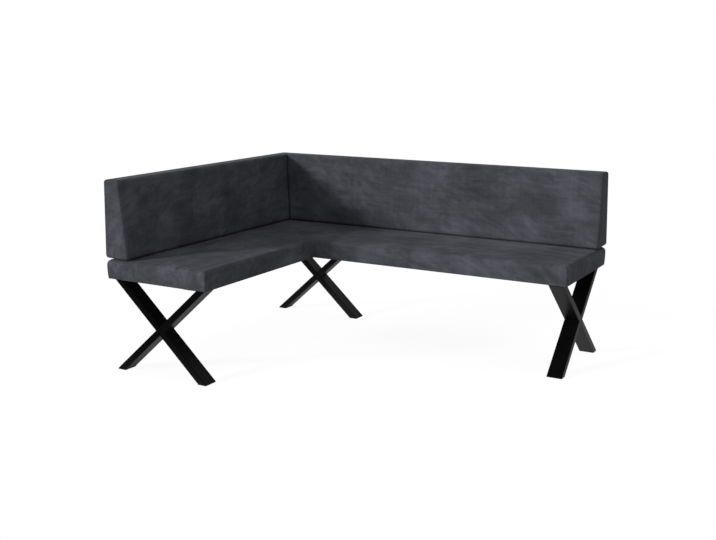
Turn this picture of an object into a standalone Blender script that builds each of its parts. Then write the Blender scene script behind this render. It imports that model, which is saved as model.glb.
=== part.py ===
"""Upholstered corner bench on three crossed-tube steel frames.

Metres, +Z up. The pieces are laid out from the outer back corner of the seat on the floor, with the long
arm along +X and the short arm along -Y. An empty at that corner carries them all, so that the finished
bench stands centred over the world origin, with its feet at height zero.
"""

import math

import bmesh
import bpy
from mathutils import Matrix, Vector

# Clearances
SEAT_GAP = 0.0003            # between pieces that touch or rest on each other
BOLT_CLEARANCE = 0.0005      # round a bolt's shank, on the radius
GLIDE_CLEARANCE = 0.0004     # round a glide's plug, inside its tube

# Seat
LONG_ARM_LENGTH = 1.800
SHORT_ARM_LENGTH = 1.366
SEAT_DEPTH = 0.538
SEAT_UNDERSIDE = 0.409
SEAT_THICKNESS = 0.0865      # from the lower edge to the top at its edges, before the crown
SEAT_CROWN = 0.008           # rise of the middle of the seat above its edges
SEAT_EDGE_RADIUS = 0.022     # rounding of the seat's top edge
SEAT_DRAW_IN = 0.003         # how far the sides are pulled in at the lower edge
HEM_WIDTH = 0.018            # fabric turned under the boards
FABRIC_THICKNESS = 0.0015
LINING_THICKNESS = 0.0008
LINING_INSET = 0.012         # from the seat's lower edge to the lining's edge
SEAT_BOARD_THICKNESS = 0.024
BOARD_CORNER_RADIUS = 0.004

# Timber rails that stand on the seat boards and carry the backrests
SUPPORT_RAIL_WIDTH = 0.070
SUPPORT_RAIL_HEIGHT = 0.036
SUPPORT_RAIL_INSET = 0.018   # from the seat's rear and end faces
RAIL_EDGE_RADIUS = 0.003
REAR_BOARD_EDGE_RADIUS = 0.0015

# Backrests
BACK_HEIGHT = 0.3465
BACK_TOP_THICKNESS = 0.080
BACK_BOTTOM_THICKNESS = 0.125
BACK_OVERHANG = 0.003        # beyond the seat's rear and end faces
BACK_EDGE_RADIUS = 0.011
BACK_CROWN = 0.004           # swell of the sloping front
BACK_CROWN_START = 1 / 3     # share of the length at which the swell is full, from either end
MITRE_GAP = 0.0005           # between the two backrests where they meet
REAR_BOARD_THICKNESS = 0.016
BOTTOM_RAIL_THICKNESS = 0.022
BACK_BOARD_MARGIN = 0.024    # padding left round the edges of the backrests' timber

# Crossed frames of flat rectangular tube
FRAME_WIDTH = 0.490          # across the feet, and across the tops
FRAME_INSET = 0.021          # from the end of the bench to the side of the tube
TUBE_WIDTH = 0.070
TUBE_THICKNESS = 0.030
TUBE_WALL = 0.002
TUBE_CORNER_RADIUS = 0.003
TUBE_INNER_RADIUS = 0.001    # rounding inside the tube
PLATE_THICKNESS = 0.005
PLATE_LENGTH = 0.112
PLATE_CORNER_RADIUS = 0.004
PLATE_BOLT_SPACING = 0.040   # across the plate
PLATE_BOLT_MARGIN = 0.018    # from the plate's inner end to the bolts
GLIDE_PAD_THICKNESS = 0.003
GLIDE_PLUG_HEIGHT = 0.014
GLIDE_PAD_INSET = 0.0006     # of the pad's edge from the tube's outside

# Steel plate that joins the two seat boards
JOINING_PLATE_LENGTH = 0.360
JOINING_PLATE_WIDTH = 0.130
JOINING_BOLT_SPACING_ALONG = 0.300
JOINING_BOLT_SPACING_ACROSS = 0.080

# Bolts
BOLT_DIAMETER = 0.008
BOLT_HEAD_DIAMETER = 0.014
BOLT_HEAD_HEIGHT = 0.0044
BOLT_SOCKET_WIDTH = 0.005    # across the flats of the hexagonal socket
BOLT_SOCKET_DEPTH = 0.0026
BOLT_TIP_CHAMFER = 0.001
BOLT_TIP_COVER = 0.006       # timber left over a bolt's tip
BACK_BOLT_END_MARGIN = 0.160  # from the bench's end to the last backrest bolt
SHORT_BACK_BOLTS = 2
LONG_BACK_BOLTS = 3

# Counts of flat faces on curved edges
ARC_STEPS = 3
GLIDE_ARC_STEPS = 2
HOLE_STEPS = 8
BOLT_STEPS = 12
BOLT_DOME_STEPS = 3
SHARP_ANGLE = 35              # degrees; flatter edges are shaded smooth
MERGE_DISTANCE = 0.00001      # points closer than this become one

# The backrest bolts run up through the middle of the support rails.
BACK_BOLT_DEPTH = SUPPORT_RAIL_INSET + SUPPORT_RAIL_WIDTH / 2

# Heights that follow from the sizes above
SEAT_TOP = SEAT_UNDERSIDE + SEAT_THICKNESS
BOARD_BOTTOM = SEAT_UNDERSIDE + FABRIC_THICKNESS + SEAT_GAP
BOARD_TOP = BOARD_BOTTOM + SEAT_BOARD_THICKNESS
LINING_TOP = SEAT_UNDERSIDE - SEAT_GAP
LINING_BOTTOM = LINING_TOP - LINING_THICKNESS
PLATE_TOP = LINING_BOTTOM - SEAT_GAP
PLATE_BOTTOM = PLATE_TOP - PLATE_THICKNESS
TUBE_TOP = PLATE_BOTTOM - SEAT_GAP
TUBE_FOOT = GLIDE_PAD_THICKNESS + SEAT_GAP
PADDING_INSET = FABRIC_THICKNESS + SEAT_GAP
# The seat rises evenly from its edges to the middle of each arm. The backrests stand on it, and it is
# highest under their fronts.
CROWN_SLOPE = SEAT_CROWN / (SEAT_DEPTH / 2)
BACK_REACH = BACK_BOTTOM_THICKNESS - BACK_OVERHANG
BACK_BOTTOM = SEAT_TOP + min(SEAT_CROWN, CROWN_SLOPE * BACK_REACH) + SEAT_GAP
BACK_TOP = BACK_BOTTOM + BACK_HEIGHT
BACK_RAIL_BOTTOM = BACK_BOTTOM + PADDING_INSET
BACK_RAIL_TOP = BACK_RAIL_BOTTOM + BOTTOM_RAIL_THICKNESS

# The tube's slope puts its outer corners on the frame's outline at the floor and at the plates.
FRAME_HEIGHT = TUBE_TOP - TUBE_FOOT
TUBE_SLOPE = math.atan2(FRAME_HEIGHT, FRAME_WIDTH) + math.asin(
    TUBE_THICKNESS / math.hypot(FRAME_WIDTH, FRAME_HEIGHT))
TUBE_FOOTPRINT = TUBE_THICKNESS / math.sin(TUBE_SLOPE)
FRAME_DEPTH_INSET = (SEAT_DEPTH - FRAME_WIDTH) / 2
CUTTER_REACH = 0.020         # how far a cutter runs past what it cuts


# Scene, collections and materials

def clear_scene():
    """Remove every object that the file starts with."""
    for found in list(bpy.data.objects):
        bpy.data.objects.remove(found, do_unlink=True)


def new_collection(name):
    """A collection under the scene's own."""
    made = bpy.data.collections.new(name)
    bpy.context.scene.collection.children.link(made)
    return made


def material(name, colour, roughness, metallic=0.0):
    """A Principled material with one colour."""
    made = bpy.data.materials.new(name)
    made.use_nodes = True
    shader = made.node_tree.nodes["Principled BSDF"]
    shader.inputs["Base Color"].default_value = (*colour, 1.0)
    shader.inputs["Roughness"].default_value = roughness
    shader.inputs["Metallic"].default_value = metallic
    return made


clear_scene()
PARTS = new_collection("corner_bench")
CUTTERS = new_collection("cutters")
ROOT = bpy.data.objects.new("seat_back_corner", None)
ROOT.location = (-LONG_ARM_LENGTH / 2, SHORT_ARM_LENGTH / 2, 0)
PARTS.objects.link(ROOT)

FABRIC = material("anthracite_fabric", (0.062, 0.064, 0.078), 0.85)
FOAM = material("cream_foam", (0.75, 0.70, 0.55), 0.95)
PLYWOOD = material("birch_plywood", (0.60, 0.45, 0.28), 0.65)
TIMBER = material("spruce_timber", (0.66, 0.50, 0.30), 0.70)
LINING = material("black_lining", (0.020, 0.020, 0.021), 0.95)
BLACK_STEEL = material("black_powder_coat", (0.012, 0.012, 0.013), 0.45)
BARE_STEEL = material("zinc_plated_steel", (0.60, 0.60, 0.62), 0.35, 1.0)
BLACK_PLASTIC = material("black_plastic", (0.018, 0.018, 0.019), 0.50)


# Objects and modifiers

def mesh_object(name, mesh, collection, finish=None, parent=ROOT):
    """An object for a mesh or a curve, linked, finished and parented."""
    made = bpy.data.objects.new(name, mesh)
    collection.objects.link(made)
    made.parent = parent
    if finish is not None:
        mesh.materials.clear()
        mesh.materials.append(finish)
    return made


def helper(name, mesh, parent=ROOT):
    """A cutter: drawn as wire and left out of renders."""
    made = mesh_object(name, mesh, CUTTERS, parent=parent)
    made.hide_render = True
    made.display_type = "WIRE"
    return made


def mesh_from(bm, name):
    """The finished mesh of a bmesh, with its faces pointing out."""
    bmesh.ops.recalc_face_normals(bm, faces=bm.faces)
    mesh = bpy.data.meshes.new(name)
    bm.to_mesh(mesh)
    bm.free()
    return mesh


def box_mesh(name, low, high):
    """A box between two corners."""
    bm = bmesh.new()
    size = Vector(high) - Vector(low)
    middle = (Vector(high) + Vector(low)) / 2
    bmesh.ops.create_cube(bm, size=1.0, matrix=Matrix.Translation(middle) @ Matrix.Diagonal(size).to_4x4())
    return mesh_from(bm, name)


def add_bevel(piece, width, segments=2):
    """Round a piece's edges."""
    bevel = piece.modifiers.new("rounded_edges", "BEVEL")
    bevel.width = width
    bevel.segments = segments
    bevel.limit_method = "ANGLE"
    return bevel


def add_boolean(piece, other, operation="DIFFERENCE"):
    """Cut, keep or join with another object, or with all of a collection."""
    boolean = piece.modifiers.new(operation.lower(), "BOOLEAN")
    boolean.operation = operation
    boolean.solver = "EXACT"
    if isinstance(other, bpy.types.Collection):
        boolean.operand_type = "COLLECTION"
        boolean.collection = other
    else:
        boolean.object = other
    return boolean


def baked_mesh(piece, name):
    """What an object looks like with its modifiers, as a mesh of its own. The object is removed."""
    bpy.context.view_layer.update()
    evaluated = piece.evaluated_get(bpy.context.evaluated_depsgraph_get())
    mesh = bpy.data.meshes.new_from_object(evaluated)
    mesh.name = name
    bm = bmesh.new()
    bm.from_mesh(mesh)
    bmesh.ops.remove_doubles(bm, verts=bm.verts, dist=MERGE_DISTANCE)
    bm.to_mesh(mesh)
    bm.free()
    bpy.data.objects.remove(piece, do_unlink=True)
    return mesh


def smooth(piece):
    """Shade a round piece smooth and leave its sharp edges."""
    piece.data.shade_smooth()
    piece.data.set_sharp_from_angle(angle=math.radians(SHARP_ANGLE))


# Flat outlines

def arc(centre, radius, start, end, steps):
    """Points along an arc, angles in radians."""
    return [(centre[0] + radius * math.cos(start + (end - start) * i / steps),
             centre[1] + radius * math.sin(start + (end - start) * i / steps)) for i in range(steps + 1)]


def rounded_rectangle(low, high, radius, steps=ARC_STEPS):
    """The outline of a rectangle with rounded corners, anticlockwise."""
    corners = ((high[0], high[1]), (low[0], high[1]), (low[0], low[1]), (high[0], low[1]))
    inward = ((-1, -1), (1, -1), (1, 1), (-1, 1))
    points = []
    for quarter, (corner, turn) in enumerate(zip(corners, inward)):
        centre = (corner[0] + turn[0] * radius, corner[1] + turn[1] * radius)
        start = quarter * math.pi / 2
        points += arc(centre, radius, start, start + math.pi / 2, steps)
    return points


def circle(centre, radius, steps=HOLE_STEPS):
    """A circle of flat steps."""
    return arc(centre, radius, 0, 2 * math.pi * (steps - 1) / steps, steps - 1)


def plate_mesh(name, outlines, bottom, top):
    """A flat piece: the first outline is its edge and the others are its holes."""
    curve = bpy.data.curves.new(name, "CURVE")
    curve.dimensions = "2D"
    curve.fill_mode = "BOTH"
    curve.extrude = (top - bottom) / 2
    for outline in outlines:
        spline = curve.splines.new("POLY")
        spline.points.add(len(outline) - 1)
        for point, (x, y) in zip(spline.points, outline):
            point.co = (x, y, 0, 1)
        spline.use_cyclic_u = True
    blank = bpy.data.objects.new(name, curve)
    CUTTERS.objects.link(blank)
    mesh = baked_mesh(blank, name)
    bpy.data.curves.remove(curve)
    mesh.transform(Matrix.Translation((0, 0, (bottom + top) / 2)))
    return mesh


# Bolts

def bolt_mesh(name, length):
    """A button-head bolt pointing up from its head's seat at height zero, with a hexagonal socket."""
    shank = BOLT_DIAMETER / 2
    head = BOLT_HEAD_DIAMETER / 2
    turns = [math.pi / 2 * step / BOLT_DOME_STEPS for step in range(BOLT_DOME_STEPS)]
    dome = [(head * math.cos(turn), -BOLT_HEAD_HEIGHT * math.sin(turn)) for turn in turns]
    profile = [(0, length), (shank - BOLT_TIP_CHAMFER, length), (shank, length - BOLT_TIP_CHAMFER), (shank, 0)]
    profile += dome + [(0, -BOLT_HEAD_HEIGHT)]
    bm = bmesh.new()
    points = [bm.verts.new((x, 0, z)) for x, z in profile]
    for first, second in zip(points, points[1:]):
        bm.edges.new((first, second))
    mesh = bpy.data.meshes.new(name + "_profile")
    bm.to_mesh(mesh)
    bm.free()
    turned = bpy.data.objects.new(name, mesh)
    CUTTERS.objects.link(turned)
    screw = turned.modifiers.new("turned", "SCREW")
    screw.steps = BOLT_STEPS
    screw.render_steps = BOLT_STEPS
    screw.use_merge_vertices = True
    screw.merge_threshold = MERGE_DISTANCE
    bm = bmesh.new()
    socket_floor = BOLT_SOCKET_DEPTH - BOLT_HEAD_HEIGHT
    middle = socket_floor - BOLT_HEAD_HEIGHT / 2
    socket_radius = BOLT_SOCKET_WIDTH / math.sqrt(3)
    bmesh.ops.create_cone(bm, cap_ends=True, segments=6, radius1=socket_radius, radius2=socket_radius,
                          depth=BOLT_HEAD_HEIGHT, matrix=Matrix.Translation((0, 0, middle)))
    socket = helper(name + "_socket", mesh_from(bm, name + "_socket"), parent=None)
    add_boolean(turned, socket)
    baked = baked_mesh(turned, name)
    bpy.data.objects.remove(socket, do_unlink=True)
    return baked


def bolt_hole_cutters(collection, places, bottom, top):
    """Upright cylinders that cut a bolt's clearance hole at each place."""
    bm = bmesh.new()
    radius = BOLT_DIAMETER / 2 + BOLT_CLEARANCE
    middle = (bottom + top) / 2
    bmesh.ops.create_cone(bm, cap_ends=True, segments=HOLE_STEPS, radius1=radius, radius2=radius,
                          depth=top - bottom, matrix=Matrix.Translation((0, 0, middle)))
    mesh = mesh_from(bm, collection.name)
    for number, (x, y) in enumerate(places, 1):
        cutter = helper(f"{collection.name}_{number}", mesh)
        cutter.location = (x, y, 0)
        collection.objects.link(cutter)


def add_bolts(names_and_places, mesh, height):
    """One bolt for each name and place, its head's seat at a height."""
    for name, (x, y) in names_and_places:
        bolt = mesh_object(name, mesh, PARTS, BARE_STEEL)
        bolt.location = (x, y, height)
        smooth(bolt)


# Where the bolts go, seen from above

def frame_places():
    """Each frame's name, the place of its outline's corner, and its turn about the upright."""
    far = -SHORT_ARM_LENGTH + FRAME_INSET
    near = -FRAME_INSET - TUBE_WIDTH
    right = LONG_ARM_LENGTH - FRAME_INSET - TUBE_WIDTH
    return (("left_frame", Vector((FRAME_DEPTH_INSET, far, 0)), 0.0),
            ("corner_frame", Vector((FRAME_DEPTH_INSET, near, 0)), 0.0),
            ("right_frame", Vector((right, -FRAME_DEPTH_INSET, 0)), -math.pi / 2))


def plate_bolt_places_in_frame():
    """The plate bolts' places in a frame's own outline, which runs from the wall side to the room side."""
    wall = PLATE_LENGTH - PLATE_BOLT_MARGIN
    room = FRAME_WIDTH - wall
    sides = (TUBE_WIDTH / 2 - PLATE_BOLT_SPACING / 2, TUBE_WIDTH / 2 + PLATE_BOLT_SPACING / 2)
    return [(f"{side}_plate_bolt_{number}", (x, y))
            for side, x in (("wall", wall), ("room", room)) for number, y in enumerate(sides, 1)]


def plate_bolt_places():
    """Every plate bolt's name and place on the bench."""
    places = []
    for frame, corner, turn in frame_places():
        spin = Matrix.Rotation(turn, 3, "Z")
        for name, (x, y) in plate_bolt_places_in_frame():
            place = corner + spin @ Vector((x, y, 0))
            places.append((f"{frame}_{name}", (place.x, place.y)))
    return places


def joining_centre():
    """The middle of the joining plate: on the joint, halfway from the corner frame to the seat's front."""
    return Vector((SEAT_DEPTH, -(FRAME_INSET + TUBE_WIDTH + SEAT_DEPTH) / 2))


def joining_bolt_places():
    """The joining plate's bolts, two in each board."""
    centre = joining_centre()
    across = JOINING_BOLT_SPACING_ACROSS / 2
    along = JOINING_BOLT_SPACING_ALONG / 2
    corners = ((-across, -along), (-across, along), (across, -along), (across, along))
    return [(f"joining_bolt_{number}", (centre.x + x, centre.y + y))
            for number, (x, y) in enumerate(corners, 1)]


def back_bolt_places():
    """The long bolts under each backrest, spread evenly between the corner and the free end."""
    first = SEAT_DEPTH / 2
    places = []
    for side, length, count in (("short", SHORT_ARM_LENGTH, SHORT_BACK_BOLTS),
                                ("long", LONG_ARM_LENGTH, LONG_BACK_BOLTS)):
        last = length - BACK_BOLT_END_MARGIN
        for number in range(count):
            along = first + (last - first) * number / max(1, count - 1)
            place = (BACK_BOLT_DEPTH, -along) if side == "short" else (along, -BACK_BOLT_DEPTH)
            places.append((f"{side}_back_bolt_{number + 1}", place))
    return places


# Seat padding and cover, from one coarse cage over the whole L

def seat_crown(x, y):
    """How far the seat's top rises at a point: nothing at its edges, most along each arm's middle."""
    to_outside = min(x, -y, LONG_ARM_LENGTH - x, y + SHORT_ARM_LENGTH)
    beside = Vector((max(0.0, SEAT_DEPTH - x), max(0.0, y + SEAT_DEPTH)))
    to_edge = min(to_outside, beside.length)
    return min(SEAT_CROWN, CROWN_SLOPE * to_edge)


def seat_lines(length, support, middle):
    """Where the cage's lines cross one arm: its outside, the inner corner and what shapes the edges."""
    return [0, support, middle, SEAT_DEPTH - support, SEAT_DEPTH, SEAT_DEPTH + support,
            length - middle, length - support, length]


OUTER_LINE = 0
INNER_LINE = 4
END_LINE = 8


def seat_line_place(index, length, support, inset):
    """One cage line's distance from the bench's outside, with the outline moved inwards by the inset."""
    place = seat_lines(length, support, SEAT_DEPTH / 2)[index]
    if index == OUTER_LINE:
        return place + inset
    if index in (INNER_LINE, END_LINE):
        return place - inset
    return place


def place_seat_ring(verts, layers, support, inset, height):
    """Put one level of the seat's cage in place."""
    column_layer, row_layer = layers
    for vert in verts:
        x = seat_line_place(vert[column_layer], LONG_ARM_LENGTH, support, inset)
        y = -seat_line_place(vert[row_layer], SHORT_ARM_LENGTH, support, inset)
        vert.co = (x, y, height)


def raise_region(bm, faces):
    """Extrude a level of a cage upwards: the new level's points and faces."""
    edges = list({edge for face in faces for edge in face.edges})
    raised = bmesh.ops.extrude_face_region(bm, geom=faces + edges)["geom"]
    return ([item for item in raised if isinstance(item, bmesh.types.BMVert)],
            [item for item in raised if isinstance(item, bmesh.types.BMFace)])


def seat_cage(inset, open_underneath):
    """The L-shaped cushion as a coarse cage. Every outer face moves inwards by the inset."""
    bm = bmesh.new()
    bmesh.ops.create_grid(bm, x_segments=END_LINE, y_segments=END_LINE, size=END_LINE / 2)
    column_layer = bm.verts.layers.int.new("column")
    row_layer = bm.verts.layers.int.new("row")
    for vert in bm.verts:
        vert[column_layer] = round(vert.co.x + END_LINE / 2)
        vert[row_layer] = round(END_LINE / 2 - vert.co.y)
    layers = (column_layer, row_layer)
    outside = [face for face in bm.faces
               if min(v[column_layer] for v in face.verts) >= INNER_LINE
               and min(v[row_layer] for v in face.verts) >= INNER_LINE]
    bmesh.ops.delete(bm, geom=outside, context="FACES")

    support = 2 * SEAT_EDGE_RADIUS
    underneath = list(bm.faces)
    place_seat_ring(bm.verts, layers, support, SEAT_DRAW_IN + inset, SEAT_UNDERSIDE + inset)
    waist, waist_faces = raise_region(bm, underneath)
    place_seat_ring(waist, layers, support, inset, SEAT_TOP - support)
    waist_outline = {vert for vert in waist if on_outline(vert, layers)}
    top, _ = raise_region(bm, waist_faces)
    place_seat_ring(top, layers, support, inset, SEAT_TOP - inset)
    for vert in top:
        x = seat_line_place(vert[column_layer], LONG_ARM_LENGTH, support, 0)
        y = -seat_line_place(vert[row_layer], SHORT_ARM_LENGTH, support, 0)
        vert.co.z += seat_crown(x, y)

    crease_seat_edges(bm, layers, waist_outline)
    if open_underneath:
        bmesh.ops.delete(bm, geom=underneath, context="FACES")
    return mesh_from(bm, "seat_cage")


def seat_sheet():
    """The cover as an open sheet: the softened cage with a flat hem turned under its lower edge."""
    blank = bpy.data.objects.new("seat_sheet", seat_cage(0, True))
    CUTTERS.objects.link(blank)
    add_subdivision(blank)
    mesh = baked_mesh(blank, "seat_cover")
    bm = bmesh.new()
    bm.from_mesh(mesh)
    lower_edge = [edge for edge in bm.edges if edge.is_boundary]
    turned = bmesh.ops.extrude_edge_only(bm, edges=lower_edge)["geom"]
    for vert in turned:
        if isinstance(vert, bmesh.types.BMVert):
            vert.co += HEM_WIDTH * inwards(vert.co)
    bmesh.ops.recalc_face_normals(bm, faces=bm.faces)
    bm.to_mesh(mesh)
    bm.free()
    return mesh


def inwards(place):
    """The way into the L from a point on its lower edge, seen from above."""
    along_x = inward_step(place.x, -place.y, LONG_ARM_LENGTH)
    along_y = inward_step(-place.y, place.x, SHORT_ARM_LENGTH)
    return Vector((along_x, -along_y, 0))


def inward_step(here, across, length):
    """Away from the wall on the wall side, back towards it at an arm's end or room side, else nothing."""
    inner = SEAT_DEPTH - SEAT_DRAW_IN
    if abs(here - SEAT_DRAW_IN) < SEAT_GAP:
        return 1
    at_room_side = abs(here - inner) < SEAT_GAP and across > inner - SEAT_GAP
    at_end = abs(here - (length - SEAT_DRAW_IN)) < SEAT_GAP
    return -1 if at_room_side or at_end else 0


def on_outline(vert, layers):
    """Whether a cage point lies on the L's outline, seen from above."""
    column = vert[layers[0]]
    row = vert[layers[1]]
    if column in (OUTER_LINE, END_LINE) or row in (OUTER_LINE, END_LINE):
        return True
    return (column == INNER_LINE and row >= INNER_LINE) or (row == INNER_LINE and column >= INNER_LINE)


def is_seat_corner(vert, layers):
    """Whether a cage point stands on one of the L's six upright edges."""
    corners = {(OUTER_LINE, OUTER_LINE), (END_LINE, OUTER_LINE), (END_LINE, INNER_LINE),
               (INNER_LINE, INNER_LINE), (INNER_LINE, END_LINE), (OUTER_LINE, END_LINE)}
    return (vert[layers[0]], vert[layers[1]]) in corners


def crease_seat_edges(bm, layers, waist):
    """Keep the lower edge and the sewn upright corners crisp. The top edge stays soft."""
    crease = bm.edges.layers.float.new("crease_edge")
    for edge in bm.edges:
        beside_waist = any(vert in waist for face in edge.link_faces for vert in face.verts)
        lower_edge = beside_waist and max(vert.co.z for vert in edge.verts) < BOARD_BOTTOM
        upright = all(is_seat_corner(vert, layers) for vert in edge.verts)
        if lower_edge or (upright and any(vert in waist for vert in edge.verts)):
            edge[crease] = 1.0


def add_subdivision(piece):
    """Soften a cage by one step of subdivision, which leaves its flat faces where they are."""
    subdivision = piece.modifiers.new("soft_form", "SUBSURF")
    subdivision.levels = 1
    subdivision.render_levels = 1
    subdivision.use_limit_surface = False


def add_fabric(piece):
    """Give an open sheet the fabric's thickness, inwards."""
    shell = piece.modifiers.new("fabric", "SOLIDIFY")
    shell.thickness = FABRIC_THICKNESS
    shell.offset = -1
    shell.use_even_offset = False


def build_seat(back_holes, plate_holes):
    """Boards, rails, foam, cover and lining."""
    cover = mesh_object("seat_cover", seat_sheet(), PARTS, FABRIC)
    add_fabric(cover)
    add_boolean(cover, back_holes)
    add_boolean(cover, plate_holes)
    smooth(cover)

    # The boards' joint stands on the line where the short board's inner side is drawn in.
    edge = SEAT_DRAW_IN + PADDING_INSET
    joint = SEAT_DEPTH - edge
    boards = {"short": ((edge, edge - SHORT_ARM_LENGTH), (joint, -edge)),
              "long": ((joint + SEAT_GAP, edge - SEAT_DEPTH), (LONG_ARM_LENGTH - edge, -edge))}
    for side, (low, high) in boards.items():
        outline = rounded_rectangle(low, high, BOARD_CORNER_RADIUS)
        mesh = plate_mesh(f"seat_board_{side}", [outline], BOARD_BOTTOM, BOARD_TOP)
        board = mesh_object(f"seat_board_{side}", mesh, PARTS, PLYWOOD)
        add_boolean(board, back_holes)
        add_boolean(board, plate_holes)

    rail_bottom = BOARD_TOP + SEAT_GAP
    rail_top = rail_bottom + SUPPORT_RAIL_HEIGHT
    near = SUPPORT_RAIL_INSET
    far = near + SUPPORT_RAIL_WIDTH
    rails = {"short": ((near, near - SHORT_ARM_LENGTH, rail_bottom), (far, -near, rail_top)),
             "long": ((far + SEAT_GAP, -far, rail_bottom), (LONG_ARM_LENGTH - near, -near, rail_top))}
    reach = Vector((SEAT_GAP, SEAT_GAP, SEAT_GAP))
    recesses = []
    for side, (low, high) in rails.items():
        rail = mesh_object(f"support_rail_{side}", box_mesh("rail", low, high), PARTS, TIMBER)
        add_bevel(rail, RAIL_EDGE_RADIUS, 1)
        add_boolean(rail, back_holes)
        recess_low = Vector(low) - reach - Vector((0, 0, CUTTER_REACH))
        recesses.append(helper(f"rail_recess_{side}", box_mesh("recess", recess_low, Vector(high) + reach)))

    # Each foam is the padding inside the cover, kept within its own block round the rails and bolts.
    beyond = CUTTER_REACH
    foam_bottom = BOARD_TOP + SEAT_GAP
    foam_top = SEAT_TOP + SEAT_CROWN + beyond
    foam_end = SEAT_DEPTH - SEAT_GAP / 2
    blocks = {"short": ((-beyond, -SHORT_ARM_LENGTH - beyond, foam_bottom), (foam_end, beyond, foam_top)),
              "long": ((foam_end + SEAT_GAP, -SEAT_DEPTH - beyond, foam_bottom),
                       (LONG_ARM_LENGTH + beyond, beyond, foam_top))}
    for side, (low, high) in blocks.items():
        block = helper(f"foam_block_{side}", box_mesh("block", low, high))
        for recess in recesses:
            add_boolean(block, recess)
        add_boolean(block, back_holes)
        foam = mesh_object(f"seat_foam_{side}", seat_cage(PADDING_INSET, False), PARTS, FOAM)
        add_subdivision(foam)
        add_boolean(foam, block, "INTERSECT")
        smooth(foam)

    outline = l_outline(SEAT_DRAW_IN + LINING_INSET)
    lining = mesh_object("seat_lining", plate_mesh("seat_lining", [outline], LINING_BOTTOM, LINING_TOP),
                         PARTS, LINING)
    add_boolean(lining, back_holes)
    add_boolean(lining, plate_holes)


def l_outline(inset):
    """The seat's outline from above, moved inwards."""
    near = inset
    inner = SEAT_DEPTH - inset
    return [(near, -near), (near, inset - SHORT_ARM_LENGTH), (inner, inset - SHORT_ARM_LENGTH),
            (inner, -inner), (LONG_ARM_LENGTH - inset, -inner), (LONG_ARM_LENGTH - inset, -near)]


# Backrests, from one wedge cage each

BACK_COLUMNS = 5
BACK_ROWS = 3
BACK_LEVELS = 5
SWELL_COLUMNS = (2, 3)
SWELL_LEVEL = 2


def on_bench(side, along, depth):
    """A point on the bench from its distance along a backrest and its depth from the backrest's rear."""
    if side == "short":
        return (depth - BACK_OVERHANG, BACK_OVERHANG - along)
    return (along - BACK_OVERHANG, BACK_OVERHANG - depth)


def back_length(side):
    """A backrest's length along its rear face."""
    arm = SHORT_ARM_LENGTH if side == "short" else LONG_ARM_LENGTH
    return arm + 2 * BACK_OVERHANG


def back_thickness(height):
    """The wedge's thickness at a height above the floor."""
    share = (height - BACK_BOTTOM) / BACK_HEIGHT
    return BACK_BOTTOM_THICKNESS + (BACK_TOP_THICKNESS - BACK_BOTTOM_THICKNESS) * share


def back_point(side, column, row, level, inset):
    """One point of a backrest's cage, its outer faces moved inwards by the inset."""
    support = 2 * BACK_EDGE_RADIUS
    heights = (BACK_BOTTOM, BACK_BOTTOM + support, (BACK_BOTTOM + BACK_TOP) / 2, BACK_TOP - support, BACK_TOP)
    height = heights[level]
    thickness = back_thickness(height)
    depth = (0, support, thickness - support, thickness)[row]
    depth += (inset, 0, 0, -inset)[row]
    if row == BACK_ROWS and level == SWELL_LEVEL and column in SWELL_COLUMNS:
        depth += BACK_CROWN
    length = back_length(side)
    # The corner end is a mitre: each point starts as far along as it is deep.
    mitre = math.sqrt(2) * (inset + MITRE_GAP / 2)
    along = (depth + mitre, depth + mitre + support, length * BACK_CROWN_START,
             length * (1 - BACK_CROWN_START), length - support, length - inset)[column]
    height += inset if level == 0 else 0
    height -= inset if level == BACK_LEVELS - 1 else 0
    x, y = on_bench(side, along, depth)
    return (x, y, height)


def back_cage(side, inset, open_underneath):
    """A wedge backrest as a coarse cage, raised level by level from its underside."""
    bm = bmesh.new()
    bmesh.ops.create_grid(bm, x_segments=BACK_COLUMNS, y_segments=BACK_ROWS, size=0.5)
    column_layer = bm.verts.layers.int.new("column")
    row_layer = bm.verts.layers.int.new("row")
    for vert in bm.verts:
        vert[column_layer] = round((vert.co.x + 0.5) * BACK_COLUMNS)
        vert[row_layer] = round((vert.co.y + 0.5) * BACK_ROWS)
    underneath = list(bm.faces)
    verts = list(bm.verts)
    faces = underneath
    for level in range(BACK_LEVELS):
        if level > 0:
            verts, faces = raise_region(bm, faces)
        for vert in verts:
            vert.co = back_point(side, vert[column_layer], vert[row_layer], level, inset)
    if open_underneath:
        middle = [face for face in underneath
                  if all(v[row_layer] in (1, 2) and 1 <= v[column_layer] < BACK_COLUMNS for v in face.verts)]
        bmesh.ops.delete(bm, geom=middle, context="FACES")
    return mesh_from(bm, f"{side}_back_cage")


def back_board_corners(side, start, end, depths, heights):
    """The low and high corners of a box inside a backrest."""
    ends = [on_bench(side, along, depth) for along, depth in ((start, depths[0]), (end, depths[1]))]
    xs = sorted(point[0] for point in ends)
    ys = sorted(point[1] for point in ends)
    return (xs[0], ys[0], heights[0]), (xs[1], ys[1], heights[1])


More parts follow.
